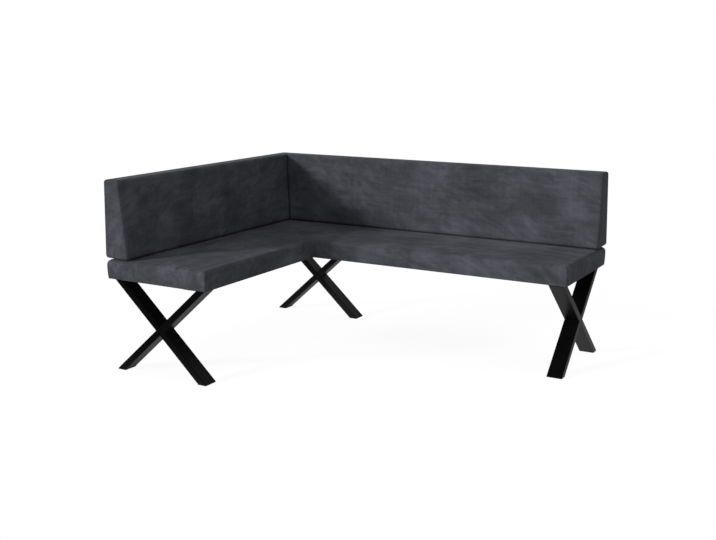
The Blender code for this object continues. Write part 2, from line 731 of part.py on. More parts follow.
def build_back(side, back_holes):
    """Rear board, bottom rail, foam wedge and cover of one backrest."""
    cover = mesh_object(f"{side}_back_cover", back_cage(side, 0, True), PARTS, FABRIC)
    add_subdivision(cover)
    add_fabric(cover)
    smooth(cover)

    length = back_length(side)
    end = length - BACK_BOARD_MARGIN
    rail_front = BACK_BOTTOM_THICKNESS - BACK_BOARD_MARGIN
    rail_rear = BACK_BOARD_MARGIN
    rail_box = back_board_corners(side, rail_front + BACK_BOARD_MARGIN, end, (rail_rear, rail_front),
                                  (BACK_RAIL_BOTTOM, BACK_RAIL_TOP))
    rail = mesh_object(f"{side}_back_bottom_rail", box_mesh("rail", *rail_box), PARTS, PLYWOOD)
    add_bevel(rail, RAIL_EDGE_RADIUS, 1)
    add_boolean(rail, back_holes)

    board_front = PADDING_INSET + REAR_BOARD_THICKNESS
    board_bottom = BACK_RAIL_TOP + SEAT_GAP
    board_top = BACK_TOP - BACK_BOARD_MARGIN
    board_box = back_board_corners(side, board_front + BACK_BOARD_MARGIN, end,
                                   (PADDING_INSET, board_front), (board_bottom, board_top))
    board = mesh_object(f"{side}_back_rear_board", box_mesh("board", *board_box), PARTS, PLYWOOD)
    add_bevel(board, REAR_BOARD_EDGE_RADIUS, 1)

    foam = mesh_object(f"{side}_back_foam", back_cage(side, PADDING_INSET, False), PARTS, FOAM)
    add_subdivision(foam)
    reach = Vector((SEAT_GAP, SEAT_GAP, SEAT_GAP))
    rail_low = Vector(rail_box[0]) - reach - Vector((0, 0, CUTTER_REACH))
    add_boolean(foam, helper(f"{side}_rail_recess", box_mesh("recess", rail_low, Vector(rail_box[1]) + reach)))
    board_low, board_high = back_board_corners(side, board_front + BACK_BOARD_MARGIN, end,
                                               (-CUTTER_REACH, board_front), (board_bottom, board_top))
    board_cutter = box_mesh("recess", Vector(board_low) - reach, Vector(board_high) + reach)
    add_boolean(foam, helper(f"{side}_board_recess", board_cutter))
    smooth(foam)


# Crossed frames

def tube_blank(name, length, start, slope):
    """A length of rectangular tube from a point in the frame's plane, rising at a slope."""
    half_width = TUBE_WIDTH / 2
    half_thickness = TUBE_THICKNESS / 2
    outer = rounded_rectangle((-half_thickness, -half_width), (half_thickness, half_width), TUBE_CORNER_RADIUS)
    inner = rounded_rectangle((TUBE_WALL - half_thickness, TUBE_WALL - half_width),
                              (half_thickness - TUBE_WALL, half_width - TUBE_WALL),
                              TUBE_INNER_RADIUS)
    mesh = plate_mesh(name, [outer, inner], 0, length)
    mesh.transform(sloped(start, slope))
    return mesh


def sloped(start, slope):
    """The placing of a piece drawn along +Z, so that it starts at a point and rises at a slope."""
    turn = Matrix.Rotation(math.pi / 2 - slope, 4, "Y")
    return Matrix.Translation((start[0], TUBE_WIDTH / 2, start[1])) @ turn


def frame_cutters():
    """What trims the tubes: the floor cut, the cut under the plates and the through tube's own slab."""
    beyond = CUTTER_REACH
    floor = box_mesh("floor_cut", (-FRAME_WIDTH, -beyond, -FRAME_HEIGHT),
                     (2 * FRAME_WIDTH, TUBE_WIDTH + beyond, TUBE_FOOT))
    plates = box_mesh("plate_cut", (-FRAME_WIDTH, -beyond, TUBE_TOP),
                      (2 * FRAME_WIDTH, TUBE_WIDTH + beyond, TUBE_TOP + FRAME_HEIGHT))
    half = TUBE_THICKNESS / 2 + SEAT_GAP
    slab = box_mesh("crossing_cut", (-half, -TUBE_WIDTH / 2 - beyond, -FRAME_WIDTH),
                    (half, TUBE_WIDTH / 2 + beyond, FRAME_WIDTH))
    slab.transform(sloped(frame_centre(), math.pi - TUBE_SLOPE))
    return {name: helper(name, mesh, parent=None)
            for name, mesh in (("floor_cut", floor), ("plate_cut", plates), ("crossing_cut", slab))}


def frame_centre():
    """Where the two legs of a frame cross, across the frame and up."""
    return (FRAME_WIDTH / 2, (TUBE_TOP + TUBE_FOOT) / 2)


def trimmed(name, mesh, cutters):
    """A blank cut by each cutter in turn."""
    blank = bpy.data.objects.new(name, mesh)
    CUTTERS.objects.link(blank)
    for cutter in cutters:
        add_boolean(blank, cutter)
    return baked_mesh(blank, name)


def tube_meshes(cutters):
    """The three tubes of one frame: one runs through, two meet it."""
    centre = Vector(frame_centre())
    reach = math.hypot(FRAME_WIDTH, FRAME_HEIGHT) / 2 + CUTTER_REACH
    through_way = Vector((math.cos(math.pi - TUBE_SLOPE), math.sin(math.pi - TUBE_SLOPE)))
    rising = Vector((math.cos(TUBE_SLOPE), math.sin(TUBE_SLOPE)))
    through = tube_blank("through_tube", 2 * reach, centre - through_way * reach, math.pi - TUBE_SLOPE)
    upper = tube_blank("upper_tube", reach, centre, TUBE_SLOPE)
    lower = tube_blank("lower_tube", reach, centre - rising * reach, TUBE_SLOPE)
    floor, plates, slab = cutters["floor_cut"], cutters["plate_cut"], cutters["crossing_cut"]
    return {"through_tube": trimmed("through_tube", through, (floor, plates)),
            "upper_tube": trimmed("upper_tube", upper, (plates, slab)),
            "lower_tube": trimmed("lower_tube", lower, (floor, slab))}


def plate_meshes():
    """The wall-side and room-side mounting plates, each with its two bolt holes."""
    radius = BOLT_DIAMETER / 2 + BOLT_CLEARANCE
    spans = {"wall": (0, PLATE_LENGTH), "room": (FRAME_WIDTH - PLATE_LENGTH, FRAME_WIDTH)}
    meshes = {}
    for side, (low, high) in spans.items():
        outlines = [rounded_rectangle((low, 0), (high, TUBE_WIDTH), PLATE_CORNER_RADIUS)]
        outlines += [circle(place, radius) for name, place in plate_bolt_places_in_frame()
                     if name.startswith(side)]
        meshes[f"{side}_plate"] = plate_mesh(f"{side}_plate", outlines, PLATE_BOTTOM, PLATE_TOP)
    return meshes


def glide_mesh():
    """The glide under the wall-side foot: a flat pad with a plug that slants up inside the tube."""
    wall = TUBE_WALL + GLIDE_CLEARANCE
    half_width = TUBE_WIDTH / 2 - wall
    half_thickness = TUBE_THICKNESS / 2 - wall
    outline = rounded_rectangle((-half_thickness, -half_width), (half_thickness, half_width),
                                TUBE_INNER_RADIUS, GLIDE_ARC_STEPS)
    rising = Vector((math.cos(TUBE_SLOPE), math.sin(TUBE_SLOPE)))
    foot = Vector((TUBE_FOOTPRINT / 2, TUBE_FOOT))
    length = (GLIDE_PLUG_HEIGHT + CUTTER_REACH) / math.sin(TUBE_SLOPE)
    plug_mesh = plate_mesh("plug", [outline], -length, length)
    plug_mesh.transform(sloped(foot, TUBE_SLOPE))
    pad_middle = GLIDE_PAD_THICKNESS / 2
    beyond = CUTTER_REACH + length
    below = helper("plug_floor", box_mesh("plug_floor", (-beyond, -beyond, -beyond),
                                          (beyond + TUBE_FOOTPRINT, TUBE_WIDTH + beyond, pad_middle)), None)
    above = helper("plug_top", box_mesh("plug_top", (-beyond, -beyond, TUBE_FOOT + GLIDE_PLUG_HEIGHT),
                                        (2 * beyond, TUBE_WIDTH + beyond, TUBE_FOOT + 2 * beyond)), None)
    plug = helper("plug", trimmed("plug", plug_mesh, (below, above)), None)
    pad_outline = rounded_rectangle((GLIDE_PAD_INSET, GLIDE_PAD_INSET),
                                    (TUBE_FOOTPRINT - GLIDE_PAD_INSET, TUBE_WIDTH - GLIDE_PAD_INSET),
                                    TUBE_CORNER_RADIUS)
    pad = bpy.data.objects.new("glide", plate_mesh("glide", [pad_outline], 0, GLIDE_PAD_THICKNESS))
    CUTTERS.objects.link(pad)
    add_boolean(pad, plug, "UNION")
    mesh = baked_mesh(pad, "glide")
    for used in (below, above, plug):
        bpy.data.objects.remove(used, do_unlink=True)
    return mesh


def build_frames():
    """Three alike frames of tubes, plates and glides, each on its own empty."""
    cutters = frame_cutters()
    tubes = tube_meshes(cutters)
    plates = plate_meshes()
    glide = glide_mesh()
    for used in cutters.values():
        bpy.data.objects.remove(used, do_unlink=True)
    for frame, corner, turn in frame_places():
        stand = bpy.data.objects.new(frame, None)
        PARTS.objects.link(stand)
        stand.parent = ROOT
        stand.location = corner
        stand.rotation_euler = (0, 0, turn)
        for name, mesh in {**tubes, **plates}.items():
            piece = mesh_object(f"{frame}_{name}", mesh, PARTS, BLACK_STEEL, stand)
            smooth(piece)
        wall_glide = mesh_object(f"{frame}_wall_glide", glide, PARTS, BLACK_PLASTIC, stand)
        smooth(wall_glide)
        room_glide = mesh_object(f"{frame}_room_glide", glide, PARTS, BLACK_PLASTIC, stand)
        room_glide.location = (FRAME_WIDTH, TUBE_WIDTH, 0)
        room_glide.rotation_euler = (0, 0, math.pi)


# Joining plate and bolts

def build_joining_plate():
    """The flat plate under the joint of the two seat boards."""
    radius = BOLT_DIAMETER / 2 + BOLT_CLEARANCE
    middle = joining_centre()
    half = Vector((JOINING_PLATE_WIDTH / 2, JOINING_PLATE_LENGTH / 2))
    outlines = [rounded_rectangle(middle - half, middle + half, PLATE_CORNER_RADIUS)]
    outlines += [circle(place, radius) for _, place in joining_bolt_places()]
    mesh_object("joining_plate", plate_mesh("joining_plate", outlines, PLATE_BOTTOM, PLATE_TOP),
                PARTS, BLACK_STEEL)


def build_bolts():
    """Short bolts through the plates, long ones up into the backrests."""
    plate_seat = PLATE_BOTTOM - SEAT_GAP
    short_length = BOARD_TOP - BOLT_TIP_COVER - plate_seat
    short_bolt = bolt_mesh("plate_bolt", short_length)
    add_bolts(plate_bolt_places(), short_bolt, plate_seat)
    add_bolts(joining_bolt_places(), short_bolt, plate_seat)
    lining_seat = LINING_BOTTOM - SEAT_GAP
    long_bolt = bolt_mesh("back_bolt", BACK_RAIL_TOP - BOLT_TIP_COVER - lining_seat)
    add_bolts(back_bolt_places(), long_bolt, lining_seat)


def build():
    """The whole bench."""
    below = LINING_BOTTOM - CUTTER_REACH
    back_holes = new_collection("back_bolt_holes")
    bolt_hole_cutters(back_holes, [place for _, place in back_bolt_places()], below,
                      BACK_RAIL_TOP + CUTTER_REACH)
    plate_holes = new_collection("plate_bolt_holes")
    bolt_hole_cutters(plate_holes, [place for _, place in plate_bolt_places() + joining_bolt_places()], below,
                      BOARD_TOP + CUTTER_REACH)
    build_seat(back_holes, plate_holes)
    build_back("short", back_holes)
    build_back("long", back_holes)
    build_frames()
    build_joining_plate()
    build_bolts()


build()
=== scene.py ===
"""Corner bench: the looks of an L-shaped upholstered seat with two wedge backrests on three crossed frames.

Laid out as an add-on and run as a script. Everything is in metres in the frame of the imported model, with
the long arm along +X, the short arm along -Y and the outer back corner at -X and +Y.
"""

import math

import bmesh
import bpy
import numpy as np
from bpy.props import FloatProperty, PointerProperty, StringProperty
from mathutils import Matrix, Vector, noise


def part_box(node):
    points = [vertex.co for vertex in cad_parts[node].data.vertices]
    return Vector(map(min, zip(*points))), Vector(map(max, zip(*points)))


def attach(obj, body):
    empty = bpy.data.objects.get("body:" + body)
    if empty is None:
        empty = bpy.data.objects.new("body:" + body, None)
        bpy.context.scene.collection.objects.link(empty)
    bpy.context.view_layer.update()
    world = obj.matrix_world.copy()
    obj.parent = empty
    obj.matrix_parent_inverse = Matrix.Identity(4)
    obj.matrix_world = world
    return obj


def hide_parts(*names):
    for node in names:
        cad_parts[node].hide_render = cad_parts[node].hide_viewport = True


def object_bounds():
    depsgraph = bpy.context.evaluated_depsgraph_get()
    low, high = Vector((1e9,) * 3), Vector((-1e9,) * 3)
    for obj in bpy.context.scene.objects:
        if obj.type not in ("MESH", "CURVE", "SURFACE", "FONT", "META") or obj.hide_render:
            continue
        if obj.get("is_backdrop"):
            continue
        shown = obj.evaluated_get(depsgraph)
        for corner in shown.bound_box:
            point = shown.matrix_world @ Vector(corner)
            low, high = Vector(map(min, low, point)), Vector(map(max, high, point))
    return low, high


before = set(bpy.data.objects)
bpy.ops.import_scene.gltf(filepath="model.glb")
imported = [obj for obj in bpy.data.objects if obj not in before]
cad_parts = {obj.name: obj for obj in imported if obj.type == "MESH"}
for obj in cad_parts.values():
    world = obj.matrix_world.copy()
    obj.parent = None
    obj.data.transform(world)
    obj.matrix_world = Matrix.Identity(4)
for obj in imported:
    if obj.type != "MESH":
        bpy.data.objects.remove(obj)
CAD_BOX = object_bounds()
SEAT_LOW, SEAT_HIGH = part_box("seat_cover")
LONG_LOW, LONG_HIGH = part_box("long_back_cover")
SHORT_LOW, SHORT_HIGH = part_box("short_back_cover")
LINING_LOW, LINING_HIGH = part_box("seat_lining")

CORNER_TURN = 0.2            # width of the strip across the corner in which the fabric's run turns
SMOOTH = {"interpolation_type": "SMOOTHSTEP"}
WHITE = (1, 1, 1, 1)

bl_info = {
    "name": "Corner bench",
    "version": (1, 0, 0),
    "blender": (4, 5, 0),
    "location": "3D View > Sidebar > Bench",
    "description": "Upholstery, frames and studio for an L-shaped dining corner bench",
    "category": "Object",
}


def measure(name, description, default):
    """A length that a user would change, in metres."""
    return FloatProperty(name=name, description=description, default=default, unit="LENGTH")


class BenchSizes(bpy.types.PropertyGroup):
    """Sizes of the upholstery, the welds and the staples that a user would change."""

    seat_depth: measure("Seat depth", "Depth of each arm of the seat", 0.538)
    seat_height: measure("Seat height", "Height of the seat's top at its edges", 0.4955)
    seat_crown: measure("Seat crown", "Rise of the middle of the seat above its edges", 0.008)
    seat_edge: measure("Seat edge", "Rounding of the seat's top edge", 0.022)
    seat_draw_in: measure("Draw in", "How far the seat's sides are pulled in at the lower edge", 0.003)
    seat_corner: measure("Seat corner", "Rounding of the seat's upright corners on the room side", 0.007)
    wall_corner: measure("Wall corner", "Rounding of all upright corners on the wall side", 0.003)
    proud: measure("Stands proud", "How far the stretched fabric stands out over the padding's edges", 0.002)
    back_base: measure("Backrest base", "Thickness of a backrest where it stands on the seat", 0.125)
    back_crest: measure("Backrest crest", "Thickness of a backrest at its top", 0.080)
    back_edge: measure("Backrest top edge", "Rounding of the backrests' top edges", 0.011)
    back_foot: measure("Backrest foot edge", "Rounding of the backrests' lower edges", 0.014)
    back_corner: measure("Backrest corner", "Rounding of the front upright corner at a backrest's free end", 0.015)
    mitre_corner: measure("Mitre corner", "Rounding of the upright edges where the backrests meet", 0.012)
    mitre_gap: measure("Mitre gap", "Gap between the two backrests where they meet", 0.0005)
    back_swell: measure("Backrest swell", "Swell of the backrests' sloping fronts", 0.004)
    cloth_step: measure("Cloth step", "Spacing of the fabric's points before it is subdivided", 0.013)
    wave_height: measure("Wave height", "Height of the waves that the drawn fabric keeps on the seat", 0.0016)
    wave_width: measure("Wave width", "Width of those waves", 0.032)
    tube_thickness: measure("Tube thickness", "Narrow side of the frames' tubes", 0.030)
    weld_width: measure("Weld width", "Width of the fillet welds on the frames", 0.0048)
    weld_pitch: measure("Weld pitch", "Distance from one ripple of a weld to the next", 0.0022)
    staple_spacing: measure("Staple spacing", "Distance from one staple of the dust cover to the next", 0.055)
    staple_crown: measure("Staple crown", "Width of a staple", 0.0104)
    staple_margin: measure("Staple margin", "Distance of the staples from the dust cover's edge", 0.004)


class BenchColours(bpy.types.PropertyGroup):
    """Colours that a user would change."""

    # The lighter, bluer pile colour is partly painted sheen, the pile that would catch the light painted into the
    # colour; the rest of the spread is the velvet's own uneven tone.
    pile_dark: StringProperty(
        name="Pile, brushed down", description="Colour of the velvet where its pile lies away", default="#2A2B30")
    pile_middle: StringProperty(
        name="Pile, at rest", description="Colour of the velvet where its pile stands", default="#3B3C41")
    pile_light: StringProperty(
        name="Pile, brushed up", description="Colour of the velvet where its pile leans to the light",
        default="#515259")
    powder_coat: StringProperty(name="Powder coat", description="Colour of the steel frames", default="#050506")


def sizes():
    return bpy.context.scene.bench_sizes


def colours():
    return bpy.context.scene.bench_colours


def linear(colour):
    """An sRGB hex colour as linear values, with an alpha of 1."""
    values = [int(colour.lstrip("#")[k:k + 2], 16) / 255 for k in (0, 2, 4)]
    return (*(v / 12.92 if v <= 0.04045 else ((v + 0.055) / 1.055) ** 2.4 for v in values), 1.0)


# Nodes and finishes. A noise of scale 0.5 / d has spots about d metres wide.

def add_node(tree, kind, settings=None, values=None, links=None, stops=()):
    """Add a node with its settings, its sockets' values, the links into it and the colours of a ramp."""
    node = tree.nodes.new(kind)
    for name, value in (settings or {}).items():
        setattr(node, name, value)
    for name, value in (values or {}).items():
        node.inputs[name].default_value = value
    for name, source in (links or {}).items():
        tree.links.new(source, node.inputs[name])
    for number, (place, colour) in enumerate(stops):
        element = node.color_ramp.elements[number] if number < 2 else node.color_ramp.elements.new(place)
        element.position = place
        element.color = linear(colour)
    return node


def new_finish(name, roughness, metallic=0.0):
    """A material with a Principled surface: the material, its tree, its shader and the place on the object."""
    finish = bpy.data.materials.new(name)
    finish.use_nodes = True
    tree = finish.node_tree
    shader = tree.nodes["Principled BSDF"]
    shader.inputs["Roughness"].default_value = roughness
    shader.inputs["Metallic"].default_value = metallic
    return finish, tree, shader, add_node(tree, "ShaderNodeTexCoord").outputs["Object"]


def paint(shader, tone_pattern, stops, relief=None, strength=0.0, depth=0.0, roughness=None):
    """Colour a surface by a pattern, raise it by another one, to a depth in metres, and let the first pattern
    also move its roughness between two values."""
    tree = shader.id_data
    shade = add_node(tree, "ShaderNodeValToRGB", links={"Fac": tone_pattern}, stops=stops)
    tree.links.new(shade.outputs["Color"], shader.inputs["Base Color"])
    if relief:
        bump = add_node(tree, "ShaderNodeBump", values={"Strength": strength, "Distance": depth},
                        links={"Height": relief})
        tree.links.new(bump.outputs["Normal"], shader.inputs["Normal"])
    if roughness:
        gloss = add_node(tree, "ShaderNodeMapRange", values={"To Min": roughness[0], "To Max": roughness[1]},
                         links={"Value": tone_pattern})
        tree.links.new(gloss.outputs["Result"], shader.inputs["Roughness"])
    return shade.outputs["Color"]


def brushed_velvet():
    """Short-pile furniture velvet, woven, dyed and brushed: cloudy patches and faint bent strokes where the pile leans
    another way, partly its own uneven tone and partly painted sheen, lighter and bluer where the pile would catch
    the light; the threads of the ground show as thin lines along and across, and the pile catches light at grazing
    angles. Its pattern follows the run of the fabric."""
    finish, tree, shader, place = new_finish("brushed_velvet", 0.85)
    run = add_node(tree, "ShaderNodeAttribute", {"attribute_name": "fabric_run"}).outputs["Vector"]

    # The brush strokes run in faint bends, so their place is pushed about by a slow noise first.
    slow = add_node(tree, "ShaderNodeTexNoise", values={"Scale": 0.5 / 0.13, "Detail": 1.0}, links={"Vector": place})
    sway = add_node(tree, "ShaderNodeVectorMath", {"operation": "SUBTRACT"}, {1: (0.5, 0.5, 0.5)},
                    {0: slow.outputs["Color"]})
    push = add_node(tree, "ShaderNodeVectorMath", {"operation": "SCALE"}, {"Scale": 0.15}, {0: sway.outputs["Vector"]})
    bent = add_node(tree, "ShaderNodeVectorMath", {"operation": "ADD"},
                    links={0: run, 1: push.outputs["Vector"]}).outputs["Vector"]
    leaning = add_node(tree, "ShaderNodeMapping", {"vector_type": "TEXTURE"},
                       {"Rotation": (0.0, math.radians(24), math.radians(-18)), "Scale": (6.0, 1.0, 1.0)},
                       {"Vector": bent})
    lying = add_node(tree, "ShaderNodeMapping", values={"Scale": (0.12, 1.0, 1.0)}, links={"Vector": bent})
    # Threads lie 0.5 mm apart. They are drawn 4 to 5 mm wide, or they wouldn't show.
    weft = add_node(tree, "ShaderNodeMapping", values={"Scale": (0.05, 1.0, 1.0)}, links={"Vector": run})
    warp = add_node(tree, "ShaderNodeMapping", values={"Scale": (1.0, 0.06, 0.06)}, links={"Vector": run})
    # The cloudy patches are shifted so that lighter ones fall where the bench is lit more brightly, such as the short
    # backrest's end face and the long backrest's right end: painted pools of light.
    moved = add_node(tree, "ShaderNodeMapping", values={"Location": (0.55, 1.54, 1.89)}, links={"Vector": place})
    noises = {}
    for name, width, detail, roughness, where in (
            ("clouds", 0.12, 4.0, 0.55, moved.outputs["Vector"]),
            ("strokes", 0.016, 4.0, 0.62, leaning.outputs["Vector"]),
            ("streaks", 0.014, 3.0, 0.6, lying.outputs["Vector"]),
            ("weft", 0.0045, 2.0, 0.6, weft.outputs["Vector"]),
            ("warp", 0.005, 2.0, 0.6, warp.outputs["Vector"]),
            # The pile's tufts are 0.3 mm across and are drawn at 1.6 mm.
            ("pile", 0.0016, 2.0, 0.6, place),
            ("folds", 0.06, 3.0, 0.55, leaning.outputs["Vector"])):
        noises[name] = add_node(tree, "ShaderNodeTexNoise", values={
            "Scale": 0.5 / width, "Detail": detail, "Roughness": roughness}, links={"Vector": where}).outputs["Fac"]
    # Crush marks: thin curved lines where one slow noise crosses its middle value.
    crossing = add_node(tree, "ShaderNodeMath", {"operation": "SUBTRACT"}, {1: 0.5}, {0: noises["folds"]})
    distance = add_node(tree, "ShaderNodeMath", {"operation": "ABSOLUTE"}, links={0: crossing.outputs["Value"]})
    marks = add_node(tree, "ShaderNodeMapRange", SMOOTH,
                     {"From Min": 0.0, "From Max": 0.02, "To Min": 0.75, "To Max": 0.48},
                     {"Value": distance.outputs["Value"]})
    tone_pattern = relief = None
    for pattern, in_colour, in_relief in (
            (noises["clouds"], 0.36, 0.0), (noises["strokes"], 0.23, 0.3), (noises["streaks"], 0.12, 0.2),
            (noises["weft"], 0.07, 0.15), (noises["warp"], 0.07, 0.1), (marks.outputs["Result"], 0.11, 0.05),
            (noises["pile"], 0.04, 0.2)):
        tone_pattern = add_node(tree, "ShaderNodeMath", {"operation": "MULTIPLY_ADD"}, {1: in_colour, 2: 0.0},
                        {0: pattern, 2: tone_pattern} if tone_pattern else {0: pattern}).outputs["Value"]
        relief = add_node(tree, "ShaderNodeMath", {"operation": "MULTIPLY_ADD"}, {1: in_relief, 2: 0.0},
                          {0: pattern, 2: relief} if relief else {0: pattern}).outputs["Value"]
    # The ramp runs from darker pile to lighter, bluer pile: partly the velvet's own uneven tone and partly painted
    # sheen where the pile would catch the light.
    paint(shader, tone_pattern, [(0.36, colours().pile_dark), (0.64, colours().pile_light), (0.49, colours().pile_middle)],
          relief, 0.3, 0.0013)
    shader.inputs["Specular IOR Level"].default_value = 0.15
    shader.inputs["Sheen Weight"].default_value = 0.18
    shader.inputs["Sheen Roughness"].default_value = 0.3
    shader.inputs["Sheen Tint"].default_value = linear("#A3A4AE")
    return finish


def black_powder_coat():
    """Steel tube with a fine-textured polyester powder coat, sprayed dry and baked: a deep satin black with a
    faint orange peel, which shows a pale floor only where it is seen at a low angle."""
    finish, tree, shader, place = new_finish("black_powder_coat", 0.36)
    peel = add_node(tree, "ShaderNodeTexNoise", values={"Scale": 0.5 / 0.0012, "Detail": 2.0}, links={"Vector": place})
    clouds = add_node(tree, "ShaderNodeTexNoise", values={"Scale": 0.5 / 0.05, "Detail": 2.0}, links={"Vector": place})
    paint(shader, clouds.outputs["Fac"], [(0.3, colours().powder_coat), (0.7, "#090909")],
          peel.outputs["Fac"], 0.25, 0.0003, roughness=(0.32, 0.42))
    return finish


def birch_plywood():
    """Rotary-cut birch plywood, sanded: pale faces, and thin darker glue lines between the plies at the edges."""
    finish, tree, shader, place = new_finish("birch_plywood", 0.6)
    along = add_node(tree, "ShaderNodeMapping", values={"Scale": (0.15, 1.0, 1.0)}, links={"Vector": place})
    figure = add_node(tree, "ShaderNodeTexNoise", values={
        "Scale": 0.5 / 0.006, "Detail": 4.0, "Roughness": 0.6, "Distortion": 1.5},
        links={"Vector": along.outputs["Vector"]})
    face = paint(shader, figure.outputs["Fac"], [(0.35, "#D9BE92"), (0.7, "#C6A674")],
                 figure.outputs["Fac"], 0.2, 0.0004)
    # A band repeats every 0.3 / Scale metres, which makes one for each 1.5 mm ply and its glue.
    plies = add_node(tree, "ShaderNodeTexWave", {"bands_direction": "Z"},
                     {"Scale": 0.31 / 0.0015, "Distortion": 0.4, "Detail": 1.0}, {"Vector": place})
    glue = add_node(tree, "ShaderNodeMix", {"data_type": "RGBA", "blend_type": "MULTIPLY"}, {0: 0.25},
                    {6: face, 7: plies.outputs["Color"]})
    tree.links.new(glue.outputs[2], shader.inputs["Base Color"])
    return finish


def planed_spruce():
    """Planed spruce batten: straight pale grain with darker late wood every few millimetres."""
    finish, tree, shader, place = new_finish("planed_spruce", 0.62)
    grain = add_node(tree, "ShaderNodeTexWave", {"bands_direction": "Z"},
                     {"Scale": 0.31 / 0.003, "Distortion": 2.5, "Detail": 3.0}, {"Vector": place})
    paint(shader, grain.outputs["Fac"], [(0.2, "#E0C79A"), (0.85, "#C49A62")], grain.outputs["Fac"], 0.15, 0.0003)
    return finish


def zinc_plate():
    """Blue zinc-plated steel, barrel-plated and passivated: bright grey with a cool, slightly blotchy bloom."""
    finish, tree, shader, place = new_finish("zinc_plate", 0.32, 1.0)
    bloom = add_node(tree, "ShaderNodeTexNoise", values={"Scale": 0.5 / 0.004, "Detail": 3.0, "Roughness": 0.6},
                     links={"Vector": place})
    paint(shader, bloom.outputs["Fac"], [(0.3, "#A9AEB4"), (0.7, "#C7CBD0")], roughness=(0.24, 0.42))
    return finish


def moulded_polyethylene():
    """Black injection-moulded polyethylene: dull, with the fine grain of a spark-eroded mould."""
    finish, tree, shader, place = new_finish("moulded_polyethylene", 0.55)
    grain = add_node(tree, "ShaderNodeTexNoise", values={"Scale": 0.5 / 0.0006, "Detail": 2.0, "Roughness": 0.6},
                     links={"Vector": place})
    paint(shader, grain.outputs["Fac"], [(0.3, "#121213"), (0.7, "#1B1B1D")], grain.outputs["Fac"], 0.3, 0.0002)
    return finish


def spunbond_lining():
    """Black spunbond polypropylene, point-bonded under heat: thin fibres with a fine embossed dot grid."""
    finish, tree, shader, place = new_finish("spunbond_lining", 0.9)
    dots = add_node(tree, "ShaderNodeTexVoronoi", values={"Scale": 1 / 0.0025, "Randomness": 0.15},
                    links={"Vector": place})
    fibres = add_node(tree, "ShaderNodeTexNoise", values={"Scale": 0.5 / 0.0012, "Detail": 4.0, "Roughness": 0.7},
                      links={"Vector": place})
    clouds = add_node(tree, "ShaderNodeTexNoise", values={"Scale": 0.5 / 0.03, "Detail": 5.0, "Roughness": 0.7},
                      links={"Vector": place})
    uneven = add_node(tree, "ShaderNodeMix", {"data_type": "FLOAT"}, {"Factor": 0.5},
                      {"A": fibres.outputs["Fac"], "B": clouds.outputs["Fac"]})
    paint(shader, uneven.outputs["Result"], [(0.38, "#131314"), (0.62, "#262628")],
          dots.outputs["Distance"], 0.4, 0.0004)
    return finish


def finish_named(make):
    """The material that a function makes, made once."""
    return bpy.data.materials.get(make.__name__) or make()


def add_object(name, data):
    """A new object in the scene, at the origin."""
    thing = bpy.data.objects.new(name, data)
    bpy.context.scene.collection.objects.link(thing)
    return thing


def give_finish(objects, make):
    for thing in objects:
        thing.data.materials.clear()
        thing.data.materials.append(finish_named(make))


# Meshes

def lines_between(places, step):
    """Fixed places with even steps of about the given size between them."""
    made = [places[0]]
    for start, end in zip(places, places[1:]):
        count = max(1, round((end - start) / step))
        made += [start + (end - start) * k / count for k in range(1, count + 1)]
    return made


def upholstered_shell(name, columns, rows, filled, rings, place):
    """A closed shell over a plan of columns and rows. filled(i, j) says whether a cell belongs to the plan,
    and place(i, j, ring) gives a point. The first ring is the underside and the last ring the top."""
    loops = [[(i, j), (i + 1, j), (i + 1, j + 1), (i, j + 1)]
             for i in range(columns - 1) for j in range(rows - 1) if filled(i, j)]
    corners = sorted({corner for loop in loops for corner in loop})
    sides = {}
    for loop in loops:
        for start, end in zip(loop, loop[1:] + loop[:1]):
            if (end, start) in sides:
                del sides[(end, start)]
            else:
                sides[(start, end)] = True
    rim = sorted({corner for side in sides for corner in side})
    points, index = [], {}
    last = len(rings) - 1
    for ring in range(len(rings)):
        for corner in (corners if ring in (0, last) else rim):
            index[(*corner, ring)] = len(points)
            points.append(place(*corner, ring))
    faces = []
    for loop in loops:
        faces.append([index[(*c, last)] for c in loop])
        faces.append([index[(*c, 0)] for c in reversed(loop)])
    for start, end in sides:
        for ring in range(last):
            faces.append([index[(*start, ring)], index[(*end, ring)],
                          index[(*end, ring + 1)], index[(*start, ring + 1)]])
    mesh = bpy.data.meshes.new(name)
    mesh.from_pydata(points, [], faces)
    bm = bmesh.new()
    bm.from_mesh(mesh)
    bmesh.ops.recalc_face_normals(bm, faces=bm.faces)
    bm.to_mesh(mesh)
    bm.free()
    return add_object(name, mesh)


def in_corner_plan(columns, rows, inner_x, inner_y):
    """Says which cells of a plan belong to an L whose inner corner is at inner_x and inner_y."""
    return lambda i, j: (columns[i] + columns[i + 1]) / 2 < inner_x or (rows[j] + rows[j + 1]) / 2 > inner_y


def quarter(radius, steps, start=0):
    """(drop, inset) pairs round a quarter circle, from the upright side to the top."""
    return [(radius * (1 - math.sin(math.pi / 2 * k / steps)), radius * (1 - math.cos(math.pi / 2 * k / steps)))
            for k in range(start, steps + 1)]


def corner_lines(radius):
    """Distances from a corner at which a plan needs lines, so that its rounding has even steps."""
    return [radius * (1 - math.tan(math.radians(angle))) for angle in (45, 30, 15, 0)]


def round_corner(across, along, radius):
    """Where a plan point goes, by its distances from a corner's two sides, when that corner is rounded."""
    a, b = max(0.0, 1 - across / radius), max(0.0, 1 - along / radius)
    if a == 0 or b == 0:
        return across, along
    share = max(a, b) / math.hypot(a, b)
    return radius * (1 - a * share), radius * (1 - b * share)


def apply_modifiers(piece):
    """Turn the evaluated object into its own plain mesh."""
    depsgraph = bpy.context.evaluated_depsgraph_get()
    mesh = bpy.data.meshes.new_from_object(piece.evaluated_get(depsgraph))
    piece.modifiers.clear()
    old = piece.data
    piece.data = mesh
    bpy.data.meshes.remove(old)
    for polygon in mesh.polygons:
        polygon.use_smooth = True


